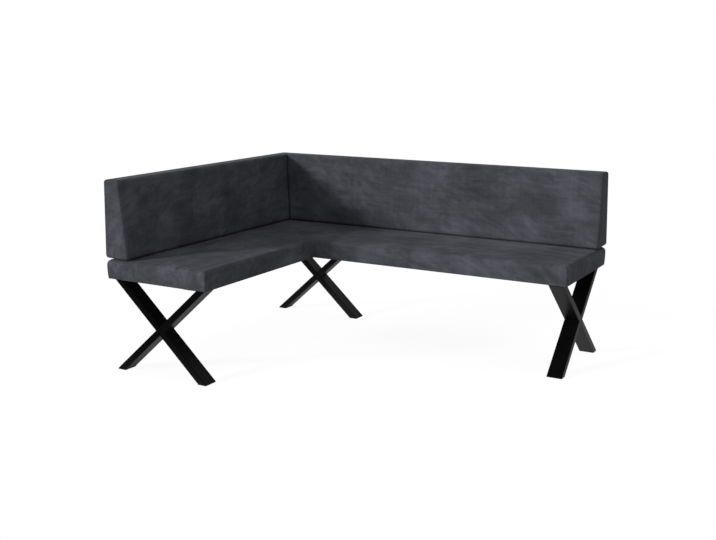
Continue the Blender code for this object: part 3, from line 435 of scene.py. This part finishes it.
def subdivide(piece):
    soft = piece.modifiers.new("soft_form", "SUBSURF")
    soft.levels = soft.render_levels = 1
    bpy.context.view_layer.update()
    apply_modifiers(piece)


def points_of(mesh, kind="co"):
    """A mesh's points, or its normals by the kind "normal"."""
    values = np.empty(len(mesh.vertices) * 3)
    mesh.vertices.foreach_get(kind, values)
    return values.reshape(-1, 3)


def move_out(piece, moves):
    """Move each point of a piece out along its normal."""
    points = points_of(piece.data) + points_of(piece.data, "normal") * moves[:, None]
    piece.data.vertices.foreach_set("co", points.ravel())
    piece.data.update()


def settle_fabric(piece, free, inward, outward):
    """Inflate the cover as cloth over its padding, then keep each point within what the padding allows."""
    start = points_of(piece.data)
    normals = points_of(piece.data, "normal")
    held = piece.vertex_groups.new(name="held")
    for vertex, share in enumerate(free):
        held.add([vertex], 1.0 - float(share), "REPLACE")
    cover = piece.modifiers.new("cover", "CLOTH")
    cover.settings.quality = 5
    cover.settings.mass = 0.4
    cover.settings.tension_stiffness = 20
    cover.settings.compression_stiffness = 15
    cover.settings.shear_stiffness = 6
    cover.settings.bending_stiffness = 2.0
    cover.settings.vertex_group_mass = "held"
    cover.settings.use_pressure = True
    cover.settings.uniform_pressure_force = 4
    cover.settings.effector_weights.gravity = 0
    cover.collision_settings.use_collision = False
    cover.collision_settings.use_self_collision = False
    scene = bpy.context.scene
    for step in range(1, 21):
        scene.frame_set(step)
    settled = points_of(piece.evaluated_get(bpy.context.evaluated_depsgraph_get()).data)
    piece.modifiers.clear()
    piece.vertex_groups.clear()
    scene.frame_set(1)
    moved = ((settled - start) * normals).sum(1)
    limit = np.where(moved > 0, outward, inward)
    move_out(piece, limit * np.tanh(moved / limit) * free)


def lay_fabric(piece, turn):
    """Keep at each point its place along, across and up the run of the fabric. turn gives how far that run has
    turned from the short arm's to the long arm's, by the distances from the two walls."""
    points = points_of(piece.data)
    from_left, from_rear = points[:, 0] - SEAT_LOW.x, SEAT_HIGH.y - points[:, 1]
    turned = turn(from_left, from_rear)
    along = (1 - turned) * from_rear + turned * from_left
    across = (1 - turned) * from_left + turned * from_rear
    layer = piece.data.attributes.new("fabric_run", "FLOAT_VECTOR", "POINT")
    layer.data.foreach_set("vector", np.stack([along, across, points[:, 2]], axis=1).ravel())


def edge_runs(name, runs):
    """An object of separate straight edges, for a node tree to follow."""
    mesh = bpy.data.meshes.new(name)
    mesh.from_pydata([end for run in runs for end in run], [(2 * k, 2 * k + 1) for k in range(len(runs))], [])
    return add_object(name, mesh)


def new_geometry_tree(name, inputs):
    """A geometry node tree with named inputs, given as (socket type, default). Returns the tree and what
    comes in."""
    tree = bpy.data.node_groups.new(name, "GeometryNodeTree")
    tree.interface.new_socket("Geometry", in_out="OUTPUT", socket_type="NodeSocketGeometry")
    tree.interface.new_socket("Geometry", in_out="INPUT", socket_type="NodeSocketGeometry")
    for label, (kind, default) in inputs.items():
        socket = tree.interface.new_socket(label, in_out="INPUT", socket_type=kind)
        socket.default_value = default
    return tree, add_node(tree, "NodeGroupInput").outputs


def repeat_along_edges(tree, given, step, shape, turn, more):
    """End a tree: a shape at even steps along the edges that come in, real geometry with its material."""
    path = add_node(tree, "GeometryNodeMeshToCurve", links={"Mesh": given["Geometry"]})
    spots = add_node(tree, "GeometryNodeResampleCurve", {"mode": "LENGTH"},
                     links={"Curve": path.outputs["Curve"], "Length": step})
    placed = add_node(tree, "GeometryNodeInstanceOnPoints", links={
        "Points": spots.outputs["Curve"], "Instance": shape, "Rotation": turn, **more})
    real = add_node(tree, "GeometryNodeRealizeInstances", links={"Geometry": placed.outputs["Instances"]})
    painted = add_node(tree, "GeometryNodeSetMaterial", links={"Geometry": real.outputs["Geometry"],
                                                               "Material": given["Finish"]})
    add_node(tree, "NodeGroupOutput", links={"Geometry": painted.outputs["Geometry"]})


def grow(piece, tree, values):
    """Run a tree on a piece with its named inputs set, and keep the result as a plain mesh."""
    modifier = piece.modifiers.new(tree.name, "NODES")
    modifier.node_group = tree
    for item in tree.interface.items_tree:
        if item.in_out == "INPUT" and item.name in values:
            modifier[item.identifier] = values[item.name]
    bpy.context.view_layer.update()
    apply_modifiers(piece)


def keep_piece(piece, make):
    """Finish, slot and body of a new piece."""
    give_finish([piece], make)
    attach(piece, "root")


# Upholstery

def make_seat_cushion():
    s = sizes()
    low = SEAT_LOW - Vector((s.proud, s.proud, 0))
    high = SEAT_HIGH + Vector((s.proud, s.proud, 0))
    inner_x, inner_y = SEAT_LOW.x + s.seat_depth, SEAT_HIGH.y - s.seat_depth
    room, wall = corner_lines(s.seat_corner), corner_lines(s.wall_corner)
    both = sorted({*room, *wall})
    columns = lines_between([low.x + d for d in wall] + [inner_x - d for d in reversed(room)]
                            + [inner_x + s.seat_corner] + [high.x - d for d in reversed(both)], s.cloth_step)
    rows = lines_between([low.y + d for d in both] + [inner_y - s.seat_corner, inner_y]
                         + [inner_y + d for d in room[1:]] + [high.y - d for d in reversed(wall)], s.cloth_step)
    corners = [(low.x, low.y, 1, 1, s.wall_corner), (inner_x, low.y, -1, 1, s.seat_corner),
               (high.x, inner_y, -1, 1, s.seat_corner), (high.x, high.y, -1, -1, s.wall_corner),
               (low.x, high.y, 1, -1, s.wall_corner)]
    top = s.seat_height
    # The fabric turns under the boards round an edge of about a millimetre.
    turn_under, hem_line = 0.0012, 0.0025
    rings = [(low.z, s.seat_draw_in + hem_line), (low.z, s.seat_draw_in + turn_under),
             (low.z + turn_under, s.seat_draw_in)]
    wall_heights = lines_between([low.z + 0.004, top - s.seat_edge], 0.010)
    for z in wall_heights:
        share = (z - wall_heights[0]) / (wall_heights[-1] - wall_heights[0])
        rings.append((z, s.seat_draw_in * (1 - share) ** 2))
    rings += [(top - drop, inset) for drop, inset in quarter(s.seat_edge, 5, 1)]

    def crown(x, y):
        outside = min(x - low.x, high.x - x, high.y - y, y - low.y)
        beside = math.hypot(max(0.0, inner_x - x), max(0.0, y - inner_y))
        edge = min(outside, beside) - s.seat_edge
        return min(s.seat_crown, max(0.0, edge) * s.seat_crown / (s.seat_depth / 2 - s.seat_edge))

    def place(i, j, ring):
        z, inset = rings[ring]
        x, y = columns[i], rows[j]
        if ring == len(rings) - 1:
            z += crown(x, y)
        for corner_x, corner_y, inward_x, inward_y, radius in corners:
            across, along = (x - corner_x) * inward_x, (y - corner_y) * inward_y
            if max(across, along) < radius and min(across, along) > -1e-6:
                across, along = round_corner(across, along, radius)
                x, y = corner_x + inward_x * across, corner_y + inward_y * along
        if abs(x - inner_x) + abs(y - inner_y) < 1e-6:
            # The fabric can't be drawn right into the inner corner.
            fillet = s.seat_corner * (1 - math.sqrt(0.5))
            x, y = x + fillet, y - fillet
        x += inset * float(np.interp(x, [low.x, inner_x, high.x], [1, -1, -1]))
        y += inset * float(np.interp(y, [low.y, inner_y, high.y], [1, 1, -1]))
        return (x, y, z)

    def waves(point):
        """Low waves in the drawn fabric, long along each arm, and a shallow dip along the backrests' feet,
        which press it down."""
        x, y, z = point
        from_wall = min(x - low.x, high.y - y)
        turn = min(1.0, max(0.0, 0.5 + ((x - low.x) - (high.y - y)) / CORNER_TURN))
        length = 7 * s.wave_width
        short_arm = noise.noise(Vector((x / s.wave_width, y / length, z / length)))
        long_arm = noise.noise(Vector((x / length, y / s.wave_width, z / length + 5.0)))
        shown = min(1.0, max(0.0, (from_wall - s.back_base) / 0.04)) * min(1.0, (z - low.z) / 0.03)
        dip = max(0.0, 1 - abs(from_wall - s.back_base - 0.004) / 0.022) if z > top - 0.01 else 0.0
        return s.wave_height * (shown * ((1 - turn) * short_arm + turn * long_arm) - 0.8 * dip)

    piece = upholstered_shell("seat_cushion", len(columns), len(rows),
                              in_corner_plan(columns, rows, inner_x, inner_y), rings, place)
    points = points_of(piece.data)
    # Held to 12 mm above the lower edge, and free 20 mm further up.
    free = np.clip((points[:, 2] - low.z - 0.012) / 0.02, 0, 1)
    settle_fabric(piece, free, inward=0.0015, outward=0.003)
    subdivide(piece)
    move_out(piece, np.array([waves(point) for point in points_of(piece.data)]))
    lay_fabric(piece, lambda from_left, from_rear: np.clip(0.5 + (from_left - from_rear) / CORNER_TURN, 0, 1))
    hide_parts("seat_cover", "seat_foam_short", "seat_foam_long")
    keep_piece(piece, brushed_velvet)


def make_backrest(side):
    s = sizes()
    low, high = (LONG_LOW, LONG_HIGH) if side == "long" else (SHORT_LOW, SHORT_HIGH)
    length = (high.x - SHORT_LOW.x if side == "long" else LONG_HIGH.y - low.y) + s.proud
    base, crest = low.z, high.z
    wall, mitre, front = (corner_lines(radius) for radius in (s.wall_corner, s.mitre_corner, s.back_corner))
    alongs = lines_between(sorted({*wall, *mitre}) + [length - d for d in sorted({*wall, *front}, reverse=True)],
                           s.cloth_step)
    depths = lines_between(wall + [s.back_base - d for d in sorted({*mitre, *front}, reverse=True)], s.cloth_step)
    rings = [(base + drop, inset) for drop, inset in reversed(quarter(s.back_foot, 4))]
    rings += [(z, 0.0) for z in lines_between([base + s.back_foot, crest - s.back_edge], s.cloth_step)[1:-1]]
    rings += [(crest - drop, inset) for drop, inset in quarter(s.back_edge, 4)]

    def thickness(z):
        return s.back_base + (s.back_crest - s.back_base) * (z - base) / (crest - base)

    def place(i, j, ring):
        z, inset = rings[ring]
        along, depth = alongs[i], depths[j]
        joined, rear = along < length / 2, depth < s.back_base / 2
        radius = s.wall_corner if rear else s.mitre_corner if joined else s.back_corner
        to_end = along if joined else length - along
        to_side = depth if rear else s.back_base - depth
        if to_end < radius and to_side < radius:
            to_end, to_side = round_corner(to_end, to_side, radius)
            along = to_end if joined else length - to_end
            depth = to_side if rear else s.back_base - to_side
        depth_share = depth / s.back_base
        depth = inset + (thickness(z) - 2 * inset) * depth_share
        start = depth + math.sqrt(2) * s.mitre_gap / 2 + inset * 0.3
        along = start + (length - inset - start) * along / length
        height_share = (z - base) / (crest - base)
        swell = s.back_swell * math.sin(math.pi * height_share) * min(1.0, 4 * min(
            alongs[i], length - alongs[i]) / length)
        depth += swell * depth_share
        if side == "long":
            return (SHORT_LOW.x + along, LONG_HIGH.y - depth, z)
        return (SHORT_LOW.x + depth, LONG_HIGH.y - along, z)

    def depth_of(point):
        return LONG_HIGH.y - point[1] if side == "long" else point[0] - SHORT_LOW.x

    def waves(point):
        """Broad unevenness of the padding on the sloping front."""
        shown = min(1.0, max(0.0, depth_of(point) / 0.04 - 1.0))
        broad = noise.noise(Vector((point[0] / 0.16, point[1] / 0.16, point[2] / 0.07)))
        fine = noise.noise(Vector((point[0] / 0.05, point[1] / 0.05, point[2] / 0.02 + 3.0)))
        return s.wave_height * shown * (0.6 * broad + 0.15 * fine)

    piece = upholstered_shell(f"{side}_backrest", len(alongs), len(depths), lambda i, j: True, rings, place)
    points = points_of(piece.data)
    # Held to 12 mm from the wall and at the foot, and free 30 mm further out and 20 mm up.
    free = np.clip([depth_of(point) / 0.03 - 0.4 for point in points], 0, 1)
    free *= np.clip((points[:, 2] - base) / 0.02, 0, 1)
    settle_fabric(piece, free, inward=0.001, outward=0.002)
    subdivide(piece)
    move_out(piece, np.array([waves(point) for point in points_of(piece.data)]))
    lay_fabric(piece, lambda from_left, from_rear: 1.0 if side == "long" else 0.0)
    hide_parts(f"{side}_back_cover", f"{side}_back_foam")
    keep_piece(piece, brushed_velvet)


def make_lining():
    """The dust cover: a flat L-shaped cloth, stapled under the boards."""
    s = sizes()
    low, high = LINING_LOW, LINING_HIGH
    inset = SEAT_LOW.x - low.x
    inner_x = SEAT_LOW.x + s.seat_depth + inset
    inner_y = SEAT_HIGH.y - s.seat_depth - inset
    step = 0.03
    columns = lines_between([low.x, inner_x, high.x], step)
    rows = lines_between([low.y, inner_y, high.y], step)
    rings = [low.z, high.z]

    def place(i, j, ring):
        return columns[i], rows[j], rings[ring]

    piece = upholstered_shell("dust_cover", len(columns), len(rows),
                              in_corner_plan(columns, rows, inner_x, inner_y), rings, place)
    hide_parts("seat_lining")
    keep_piece(piece, spunbond_lining)


def make_staples():
    """Staples along the dust cover's edge, each bent up into the boards and set a little askew."""
    s = sizes()
    tree, given = new_geometry_tree("staples", {
        "Spacing": ("NodeSocketFloat", 0.055), "Crown": ("NodeSocketFloat", 0.0104),
        "Wire": ("NodeSocketFloat", 0.0006), "Finish": ("NodeSocketMaterial", None)})
    crown = add_node(tree, "GeometryNodeCurvePrimitiveLine", values={"Start": (-0.5, 0, 0), "End": (0.5, 0, 0)})
    bends = add_node(tree, "GeometryNodeResampleCurve", {"mode": "COUNT"}, {"Count": 9},
                     {"Curve": crown.outputs["Curve"]})
    # The ends of the wire turn up by 0.3 of its width, with the eighth power of the distance from the middle.
    spot = add_node(tree, "ShaderNodeSeparateXYZ", links={0: add_node(tree, "GeometryNodeInputPosition").outputs[0]})
    power = add_node(tree, "ShaderNodeMath", {"operation": "POWER"}, {1: 8.0},
                     {0: add_node(tree, "ShaderNodeMath", {"operation": "ABSOLUTE"},
                                  links={0: spot.outputs["X"]}).outputs["Value"]})
    rise = add_node(tree, "ShaderNodeMath", {"operation": "MULTIPLY"}, {1: 2 ** 8 * 0.3}, {0: power.outputs["Value"]})
    turned = add_node(tree, "ShaderNodeCombineXYZ", links={"Z": rise.outputs["Value"]})
    bent = add_node(tree, "GeometryNodeSetPosition", links={"Geometry": bends.outputs["Curve"],
                                                            "Offset": turned.outputs["Vector"]})
    sized = add_node(tree, "GeometryNodeTransform", links={"Geometry": bent.outputs["Geometry"],
                                                           "Scale": given["Crown"]})
    wire = add_node(tree, "GeometryNodeCurvePrimitiveCircle", values={"Resolution": 6},
                    links={"Radius": given["Wire"]})
    staple = add_node(tree, "GeometryNodeCurveToMesh", values={"Fill Caps": True},
                      links={"Curve": sized.outputs["Geometry"], "Profile Curve": wire.outputs["Curve"]})
    askew = add_node(tree, "FunctionNodeRandomValue", {"data_type": "FLOAT"},
                     {2: math.radians(-9), 3: math.radians(9), "Seed": 4})
    along = add_node(tree, "FunctionNodeAlignRotationToVector", {"axis": "X", "pivot_axis": "Z"},
                     links={"Vector": add_node(tree, "GeometryNodeInputTangent").outputs["Tangent"]})
    spin = add_node(tree, "FunctionNodeRotateRotation", {"rotation_space": "LOCAL"},
                    links={"Rotation": along.outputs["Rotation"],
                           "Rotate By": add_node(tree, "ShaderNodeCombineXYZ",
                                                 links={"Z": askew.outputs[1]}).outputs["Vector"]})
    repeat_along_edges(tree, given, given["Spacing"], staple.outputs["Mesh"], spin.outputs["Rotation"], {})

    low, high = LINING_LOW, LINING_HIGH
    z = low.z - 0.0004                      # the wire stands a little proud of the cloth
    near, end = s.staple_margin, 0.03       # from the edge, and from the corners
    depth = s.seat_depth - 2 * (low.x - SEAT_LOW.x)
    inner_x, inner_y = low.x + depth, high.y - depth
    runs = [((low.x + near, low.y + end, z), (low.x + near, high.y - end, z)),
            ((low.x + end, high.y - near, z), (high.x - end, high.y - near, z)),
            ((high.x - near, high.y - end, z), (high.x - near, inner_y + end, z)),
            ((high.x - end, inner_y + near, z), (inner_x + end, inner_y + near, z)),
            ((inner_x - near, inner_y - end, z), (inner_x - near, low.y + end, z)),
            ((inner_x - end, low.y + near, z), (low.x + end, low.y + near, z))]
    piece = edge_runs("staples", runs)
    grow(piece, tree, {"Spacing": s.staple_spacing, "Crown": s.staple_crown, "Finish": finish_named(zinc_plate)})
    keep_piece(piece, zinc_plate)


def weld_lines(frame_name):
    """Where a frame's tubes are welded: the four inner edges of the crossing and one under each plate."""
    s = sizes()
    low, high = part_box(f"{frame_name}_through_tube")
    centre = (low + high) / 2
    in_x = high.x - low.x > high.y - low.y
    width, height = (high.x - low.x if in_x else high.y - low.y), high.z - low.z
    slope = math.atan2(height, width) + math.asin(s.tube_thickness / math.hypot(width, height))
    half = s.tube_thickness / 2
    foot = s.tube_thickness / math.sin(slope)
    out = s.weld_width * 0.12               # the beads' middles lie just outside the edges
    spots = [(0, half / math.cos(slope) + out), (0, -half / math.cos(slope) - out),
             (half / math.sin(slope) + out, 0), (-half / math.sin(slope) - out, 0),
             (width / 2 - foot - out, height / 2 - out), (foot - width / 2 + out, height / 2 - out)]
    side_low, side_high = (low.y, high.y) if in_x else (low.x, high.x)
    ends = (side_low + s.weld_width, side_high - s.weld_width)
    if in_x:
        return [[(centre.x + a, side, centre.z + z) for side in ends] for a, z in spots]
    return [[(side, centre.y + a, centre.z + z) for side in ends] for a, z in spots]


def make_welds():
    """Fillet welds in the inner edges of the crossed frames. Their flat sides are ground flush."""
    s = sizes()
    tree, given = new_geometry_tree("fillet_weld", {
        "Pitch": ("NodeSocketFloat", 0.0022), "Width": ("NodeSocketFloat", 0.0048),
        "Finish": ("NodeSocketMaterial", None)})
    half = add_node(tree, "ShaderNodeMath", {"operation": "MULTIPLY"}, {1: 0.5}, {0: given["Width"]})
    ripple = add_node(tree, "GeometryNodeMeshUVSphere", values={"Segments": 8, "Rings": 5},
                      links={"Radius": half.outputs["Value"]})
    flat = add_node(tree, "GeometryNodeTransform", values={"Scale": (1.0, 1.0, 0.6)},
                    links={"Geometry": ripple.outputs["Mesh"]})
    along = add_node(tree, "FunctionNodeAlignRotationToVector", {"axis": "Z"},
                     links={"Vector": add_node(tree, "GeometryNodeInputTangent").outputs["Tangent"]})
    uneven = add_node(tree, "FunctionNodeRandomValue", {"data_type": "FLOAT"}, {2: 0.9, 3: 1.1, "Seed": 7})
    repeat_along_edges(tree, given, given["Pitch"], flat.outputs["Geometry"], along.outputs["Rotation"],
                       {"Scale": uneven.outputs[1]})
    for frame_name in ("left_frame", "corner_frame", "right_frame"):
        piece = edge_runs(f"{frame_name}_welds", weld_lines(frame_name))
        grow(piece, tree, {"Pitch": s.weld_pitch, "Width": s.weld_width, "Finish": finish_named(black_powder_coat)})
        keep_piece(piece, black_powder_coat)


# Operators

class BENCH_OT_seat(bpy.types.Operator):
    """Upholster the L-shaped seat"""

    bl_idname = "bench.seat"
    bl_label = "Seat cushion"

    def execute(self, context):
        make_seat_cushion()
        return {"FINISHED"}


class BENCH_OT_backrests(bpy.types.Operator):
    """Upholster the two wedge backrests"""

    bl_idname = "bench.backrests"
    bl_label = "Backrests"

    def execute(self, context):
        make_backrest("long")
        make_backrest("short")
        return {"FINISHED"}


class BENCH_OT_lining(bpy.types.Operator):
    """Stretch the dust cover under the seat and staple it"""

    bl_idname = "bench.lining"
    bl_label = "Dust cover and staples"

    def execute(self, context):
        make_lining()
        make_staples()
        return {"FINISHED"}


class BENCH_OT_welds(bpy.types.Operator):
    """Weld the crossed frames"""

    bl_idname = "bench.welds"
    bl_label = "Welds"

    def execute(self, context):
        make_welds()
        return {"FINISHED"}


class BENCH_OT_frames(bpy.types.Operator):
    """Finish the frames, boards, rails, bolts and glides"""

    bl_idname = "bench.frames"
    bl_label = "Frames and boards"

    def execute(self, context):
        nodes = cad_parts
        by_finish = {
            black_powder_coat: ("_tube", "_room_plate", "_wall_plate", "joining_plate"),
            zinc_plate: ("_bolt_1", "_bolt_2", "_bolt_3", "_bolt_4"),
            moulded_polyethylene: ("_glide",),
            birch_plywood: ("seat_board_short", "seat_board_long", "_rear_board", "_bottom_rail"),
            planed_spruce: ("support_rail_short", "support_rail_long"),
        }
        for make, endings in by_finish.items():
            give_finish([node for name, node in nodes.items() if name.endswith(endings)], make)
        return {"FINISHED"}


class BENCH_OT_stage(bpy.types.Operator):
    """Set up the pale floor, the studio light and the camera"""

    bl_idname = "bench.stage"
    bl_label = "Stage"

    def execute(self, context):
        make_stage(context.scene)
        return {"FINISHED"}


def studio_paper():
    """White seamless paper over a light table: matt, nearly shadowless, and fading into the white background at
    its rim. It is seen from above only, so that it doesn't hide the underside of the bench. Gloss mirrors
    only the part of it that lies under the bench, behind it and to its right."""
    finish, tree, shader, place = new_finish("white_studio_paper", 0.95)
    mottle = add_node(tree, "ShaderNodeTexNoise", values={"Scale": 0.5 / 0.4, "Detail": 2.0}, links={"Vector": place})
    paint(shader, mottle.outputs["Fac"], [(0.3, "#575757"), (0.7, "#5C5C5C")])
    shader.inputs["Specular IOR Level"].default_value = 0.0
    shader.inputs["Emission Color"].default_value = WHITE
    spot = add_node(tree, "ShaderNodeSeparateXYZ", links={0: place})
    # How brightly the paper glows in gloss, on matt surfaces and to the eye.
    in_mirror, on_matt, to_eye = 0.28, 0.40, 0.92
    right = add_node(tree, "ShaderNodeMapRange", SMOOTH,
                     {"From Min": -0.94, "From Max": -0.76, "To Max": in_mirror}, {"Value": spot.outputs["X"]})
    under = add_node(tree, "ShaderNodeMapRange", SMOOTH,
                     {"From Min": -0.75, "From Max": -0.6},
                     {"Value": spot.outputs["Y"], "To Max": right.outputs["Result"]})
    ray = add_node(tree, "ShaderNodeLightPath")
    mirrored = add_node(tree, "ShaderNodeMapRange", values={"To Min": on_matt}, links={
        "Value": ray.outputs["Is Glossy Ray"], "To Max": under.outputs["Result"]})
    glow = add_node(tree, "ShaderNodeMapRange", values={"To Max": to_eye}, links={
        "Value": ray.outputs["Is Camera Ray"], "To Min": mirrored.outputs["Result"]})
    tree.links.new(glow.outputs["Result"], shader.inputs["Emission Strength"])
    # It fades out between 1.35 and 1.95 m from a point under the long arm.
    reach = add_node(tree, "ShaderNodeVectorMath", {"operation": "DISTANCE"}, {1: (0.0, 0.45, 0.0)}, {0: place})
    rim = add_node(tree, "ShaderNodeMapRange", SMOOTH,
                   {"From Min": 1.35, "From Max": 1.95, "To Min": 1.0, "To Max": 0.0},
                   {"Value": reach.outputs["Value"]})
    side = add_node(tree, "ShaderNodeNewGeometry")
    front = add_node(tree, "ShaderNodeMath", {"operation": "SUBTRACT"}, {0: 1.0}, {1: side.outputs["Backfacing"]})
    shown = add_node(tree, "ShaderNodeMath", {"operation": "MULTIPLY"},
                     links={0: rim.outputs["Result"], 1: front.outputs["Value"]})
    tree.links.new(shown.outputs["Value"], shader.inputs["Alpha"])
    return finish


def add_sun(name, energy, spread, way):
    """A soft distant light, given by the direction towards it. Gloss doesn't mirror it."""
    lamp = bpy.data.lights.new(name, "SUN")
    lamp.energy = energy
    lamp.angle = math.radians(spread)
    light = add_object(name, lamp)
    light.rotation_mode = "QUATERNION"
    light.rotation_quaternion = Vector(way).to_track_quat("Z", "Y")
    light.visible_glossy = False


def make_stage(scene):
    mesh = bpy.data.meshes.new("floor")
    reach, sides = 2.4, 96
    turns = np.linspace(0, 2 * math.pi, sides, endpoint=False)
    mesh.from_pydata([(reach * math.cos(a), reach * math.sin(a), 0) for a in turns], [], [tuple(range(sides))])
    floor = add_object("floor", mesh)
    mesh.materials.append(studio_paper())
    floor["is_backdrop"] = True

    # A white surround to the eye, a soft even fill on matt surfaces, and for gloss to mirror a grey wall
    # behind the bench and a dark room in front of it.
    world = bpy.data.worlds.new("studio")
    world.use_nodes = True
    tree = world.node_tree
    fill = tree.nodes["Background"]
    fill.inputs["Color"].default_value = WHITE
    fill.inputs["Strength"].default_value = 0.64
    white = add_node(tree, "ShaderNodeBackground", values={"Color": WHITE, "Strength": 1.0})
    way = add_node(tree, "ShaderNodeSeparateXYZ", links={0: add_node(tree, "ShaderNodeTexCoord").outputs["Generated"]})
    wall = add_node(tree, "ShaderNodeMapRange", SMOOTH,
                    {"From Min": 0.1, "From Max": 0.8, "To Min": 0.01, "To Max": 0.22}, {"Value": way.outputs["Y"]})
    room = add_node(tree, "ShaderNodeBackground", values={"Color": WHITE}, links={"Strength": wall.outputs["Result"]})
    ray = add_node(tree, "ShaderNodeLightPath")
    matt = add_node(tree, "ShaderNodeMixShader", links={
        "Fac": ray.outputs["Is Glossy Ray"], 1: fill.outputs["Background"], 2: room.outputs["Background"]})
    seen = add_node(tree, "ShaderNodeMixShader", links={
        "Fac": ray.outputs["Is Camera Ray"], 1: matt.outputs["Shader"], 2: white.outputs["Background"]})
    tree.links.new(seen.outputs["Shader"], tree.nodes["World Output"].inputs["Surface"])
    scene.world = world

    add_sun("key", 3.1, 9, (-0.56, -0.77, 0.30))
    add_sun("overhead", 0.35, 60, (0.0, 0.0, 1.0))

    # The photograph is 716 pixels wide. Its focal length and the shift of its centre are in those pixels too.
    photo_width, focal_length, shift_right, shift_up = 716, 1029.8, -6.5, -94.5
    lens = bpy.data.cameras.new("camera")
    lens.sensor_width = 36
    lens.lens = focal_length / photo_width * lens.sensor_width
    lens.shift_x = shift_right / photo_width
    lens.shift_y = shift_up / photo_width
    camera = add_object("camera", lens)
    yaw, pitch = math.radians(29.775), math.radians(7)
    ahead = Vector((-math.sin(yaw) * math.cos(pitch), math.cos(yaw) * math.cos(pitch), -math.sin(pitch)))
    camera.location = (2.2672, -3.9589, 1.4047)
    camera.rotation_mode = "QUATERNION"
    camera.rotation_quaternion = ahead.to_track_quat("-Z", "Y")
    scene.camera = camera
    scene.view_settings.view_transform = "Standard"


class BENCH_PT_panel(bpy.types.Panel):
    """Sizes, colours and pieces of the bench"""

    bl_idname = "BENCH_PT_panel"
    bl_label = "Corner bench"
    bl_space_type = "VIEW_3D"
    bl_region_type = "UI"
    bl_category = "Bench"

    def draw(self, context):
        layout = self.layout
        for group in (context.scene.bench_sizes, context.scene.bench_colours):
            for name in group.__annotations__:
                layout.prop(group, name)
        for operator in OPERATORS:
            layout.operator(operator.bl_idname)


OPERATORS = (BENCH_OT_seat, BENCH_OT_backrests, BENCH_OT_lining, BENCH_OT_welds, BENCH_OT_frames, BENCH_OT_stage)
CLASSES = (BenchSizes, BenchColours, *OPERATORS, BENCH_PT_panel)


def register():
    for cls in CLASSES:
        bpy.utils.register_class(cls)
    bpy.types.Scene.bench_sizes = PointerProperty(type=BenchSizes)
    bpy.types.Scene.bench_colours = PointerProperty(type=BenchColours)


def unregister():
    del bpy.types.Scene.bench_colours
    del bpy.types.Scene.bench_sizes
    for cls in reversed(CLASSES):
        bpy.utils.unregister_class(cls)


def main():
    register()
    bpy.ops.bench.seat()
    bpy.ops.bench.backrests()
    bpy.ops.bench.lining()
    bpy.ops.bench.welds()
    bpy.ops.bench.frames()
    bpy.ops.bench.stage()
    boxes = {"cad": CAD_BOX, "visual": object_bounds()}
    {name: [list(corner) for corner in box] for name, box in boxes.items()}


if __name__ == "__main__":
    main()
